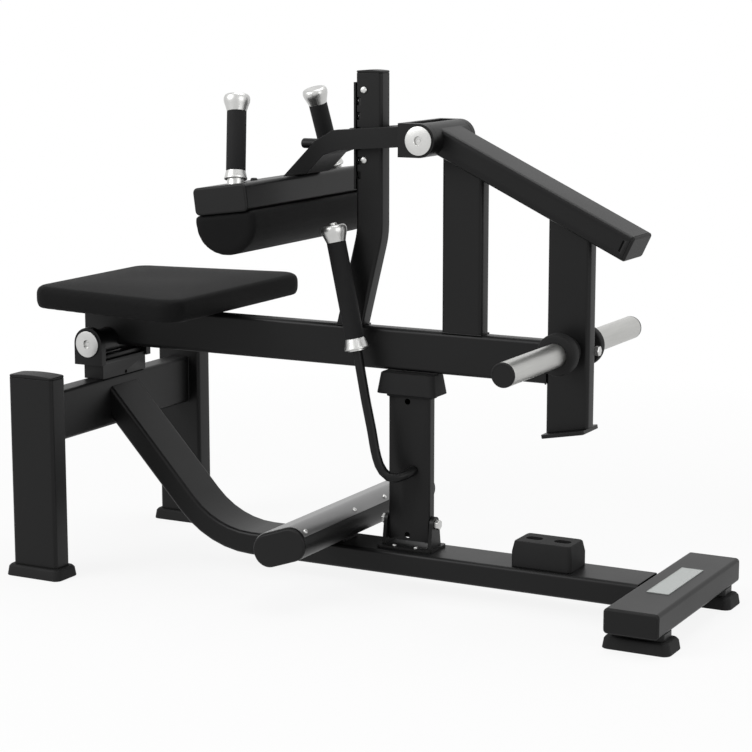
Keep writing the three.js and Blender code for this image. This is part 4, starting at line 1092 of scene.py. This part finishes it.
class CALF_OT_fasteners(bpy.types.Operator):
    """Places the screws, the prop's hinge bolt and the set bolt"""

    bl_idname = "calf.fasteners"
    bl_label = "Fasteners"

    def execute(self, context):
        fasteners = context.scene.calf_fasteners
        dressed("prop_hinge_bolt", context.scene.calf_metal.fine_edge)
        screw = domed("screw", fasteners.screw_radius)
        along, lower, upper = fasteners.upright_screws
        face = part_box("upright_tube")[0].y
        for name, height in (("lower", lower), ("upper", upper)):
            at = (along, face, height)
            stamped(screw, f"upright_screw_{name}", at, (0, -1, 0), "steel", "lever")
        stamped(screw, "housing_screw", fasteners.housing_screw, (0, 0, 1), "paint", "pad_arm")
        discard(screw)
        self.bracket_screws(fasteners)
        self.set_bolt(fasteners)
        return {"FINISHED"}

    def bracket_screws(self, fasteners):
        """Four screws that hold the prop's bracket to the spine."""
        rear, front, spot = fasteners.bracket_screws
        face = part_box("bump_stop")[0].z + fasteners.bracket_plate
        screw = domed("screw", fasteners.plate_screw_radius)
        for side, sign in SIDES:
            for name, along in (("rear", rear), ("front", front)):
                at = (along, sign * spot, face)
                stamped(screw, f"bracket_screw_{name}_{side}", at, (0, 0, 1), "steel", "base")
        discard(screw)

    def set_bolt(self, fasteners):
        """The bright bolt on the front of the far stub."""
        edge = bpy.context.scene.calf_metal.fine_edge
        shank, foot = fasteners.bolt
        radius, height = fasteners.bolt_head
        top = foot + height
        bolt = turned("set_bolt", [(shank, 0), (shank, foot - edge)], BORE_FACETS)
        profile = [(radius, foot), (radius, top - 2 * edge), (radius - 2 * edge, top)]
        for piece in (bolt, turned("set_bolt_head", profile, HEX_FACETS)):
            wear(aim(piece, fasteners.bolt_place, (1, 0, 0)), "steel", "lever")


class CALF_OT_plate(bpy.types.Operator):
    """Lays the bare plate on the front foot"""

    bl_idname = "calf.plate"
    bl_label = "Bare plate"

    def execute(self, context):
        fasteners = context.scene.calf_fasteners
        low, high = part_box("front_cross_foot")
        thickness = fasteners.plate_size[2]
        middle = ((low.x + high.x) / 2, fasteners.plate_shift, high.z + thickness / 2)
        plate = block("front_foot_plate", middle, fasteners.plate_size)
        settle(plate)
        bpy.ops.object.mode_set(mode="EDIT")
        bpy.ops.mesh.select_all(action="DESELECT")
        bpy.ops.object.mode_set(mode="OBJECT")
        for line in plate.data.edges:
            ends = [plate.data.vertices[index].co for index in line.vertices]
            line.select = abs(ends[0].z - ends[1].z) > thickness / 2
        bpy.ops.object.mode_set(mode="EDIT")
        bpy.ops.mesh.select_mode(type="EDGE")
        bpy.ops.mesh.bevel(offset=fasteners.plate_corner, segments=4)
        bpy.ops.object.mode_set(mode="OBJECT")
        modify(plate, "BEVEL", width=thickness / 4, segments=2, limit_method="ANGLE")
        wear(smoothed(plate), "plate", "base")
        return {"FINISHED"}


class CALF_PT_panel(bpy.types.Panel):
    """Lists the steps that dress the machine"""

    bl_idname = "CALF_PT_panel"
    bl_label = "Seated Calf Raise Machine"
    bl_space_type = "VIEW_3D"
    bl_region_type = "UI"
    bl_category = "Calf Raise"

    def draw(self, context):
        for operator in OPERATORS:
            self.layout.operator(operator.bl_idname)
        for settings, group in SETTINGS.items():
            box = self.layout.box()
            for name in group.__annotations__:
                box.prop(getattr(context.scene, settings), name)


OPERATORS = (
    CALF_OT_stage,
    CALF_OT_frame,
    CALF_OT_welds,
    CALF_OT_rubber,
    CALF_OT_pads,
    CALF_OT_handles,
    CALF_OT_foot_bar,
    CALF_OT_axles,
    CALF_OT_horns,
    CALF_OT_pull_pin,
    CALF_OT_fasteners,
    CALF_OT_plate,
)
SETTINGS = {
    "calf_stage": CalfStageSettings,
    "calf_pads": CalfPadSettings,
    "calf_metal": CalfMetalSettings,
    "calf_handles": CalfHandleSettings,
    "calf_fasteners": CalfFastenerSettings,
    "calf_welds": CalfWeldSettings,
    "calf_grains": CalfGrainSettings,
    "calf_colours": CalfColourSettings,
}


def register():
    for settings, group in SETTINGS.items():
        bpy.utils.register_class(group)
        setattr(bpy.types.Scene, settings, bpy.props.PointerProperty(type=group))
    for operator in OPERATORS:
        bpy.utils.register_class(operator)
    bpy.utils.register_class(CALF_PT_panel)


def unregister():
    bpy.utils.unregister_class(CALF_PT_panel)
    for operator in reversed(OPERATORS):
        bpy.utils.unregister_class(operator)
    for settings, group in SETTINGS.items():
        delattr(bpy.types.Scene, settings)
        bpy.utils.unregister_class(group)


def main():
    """Builds every piece in order."""
    register()
    for operator in OPERATORS:
        group, name = operator.bl_idname.split(".")
        getattr(getattr(bpy.ops, group), name)()


if __name__ == "__main__":
    main()
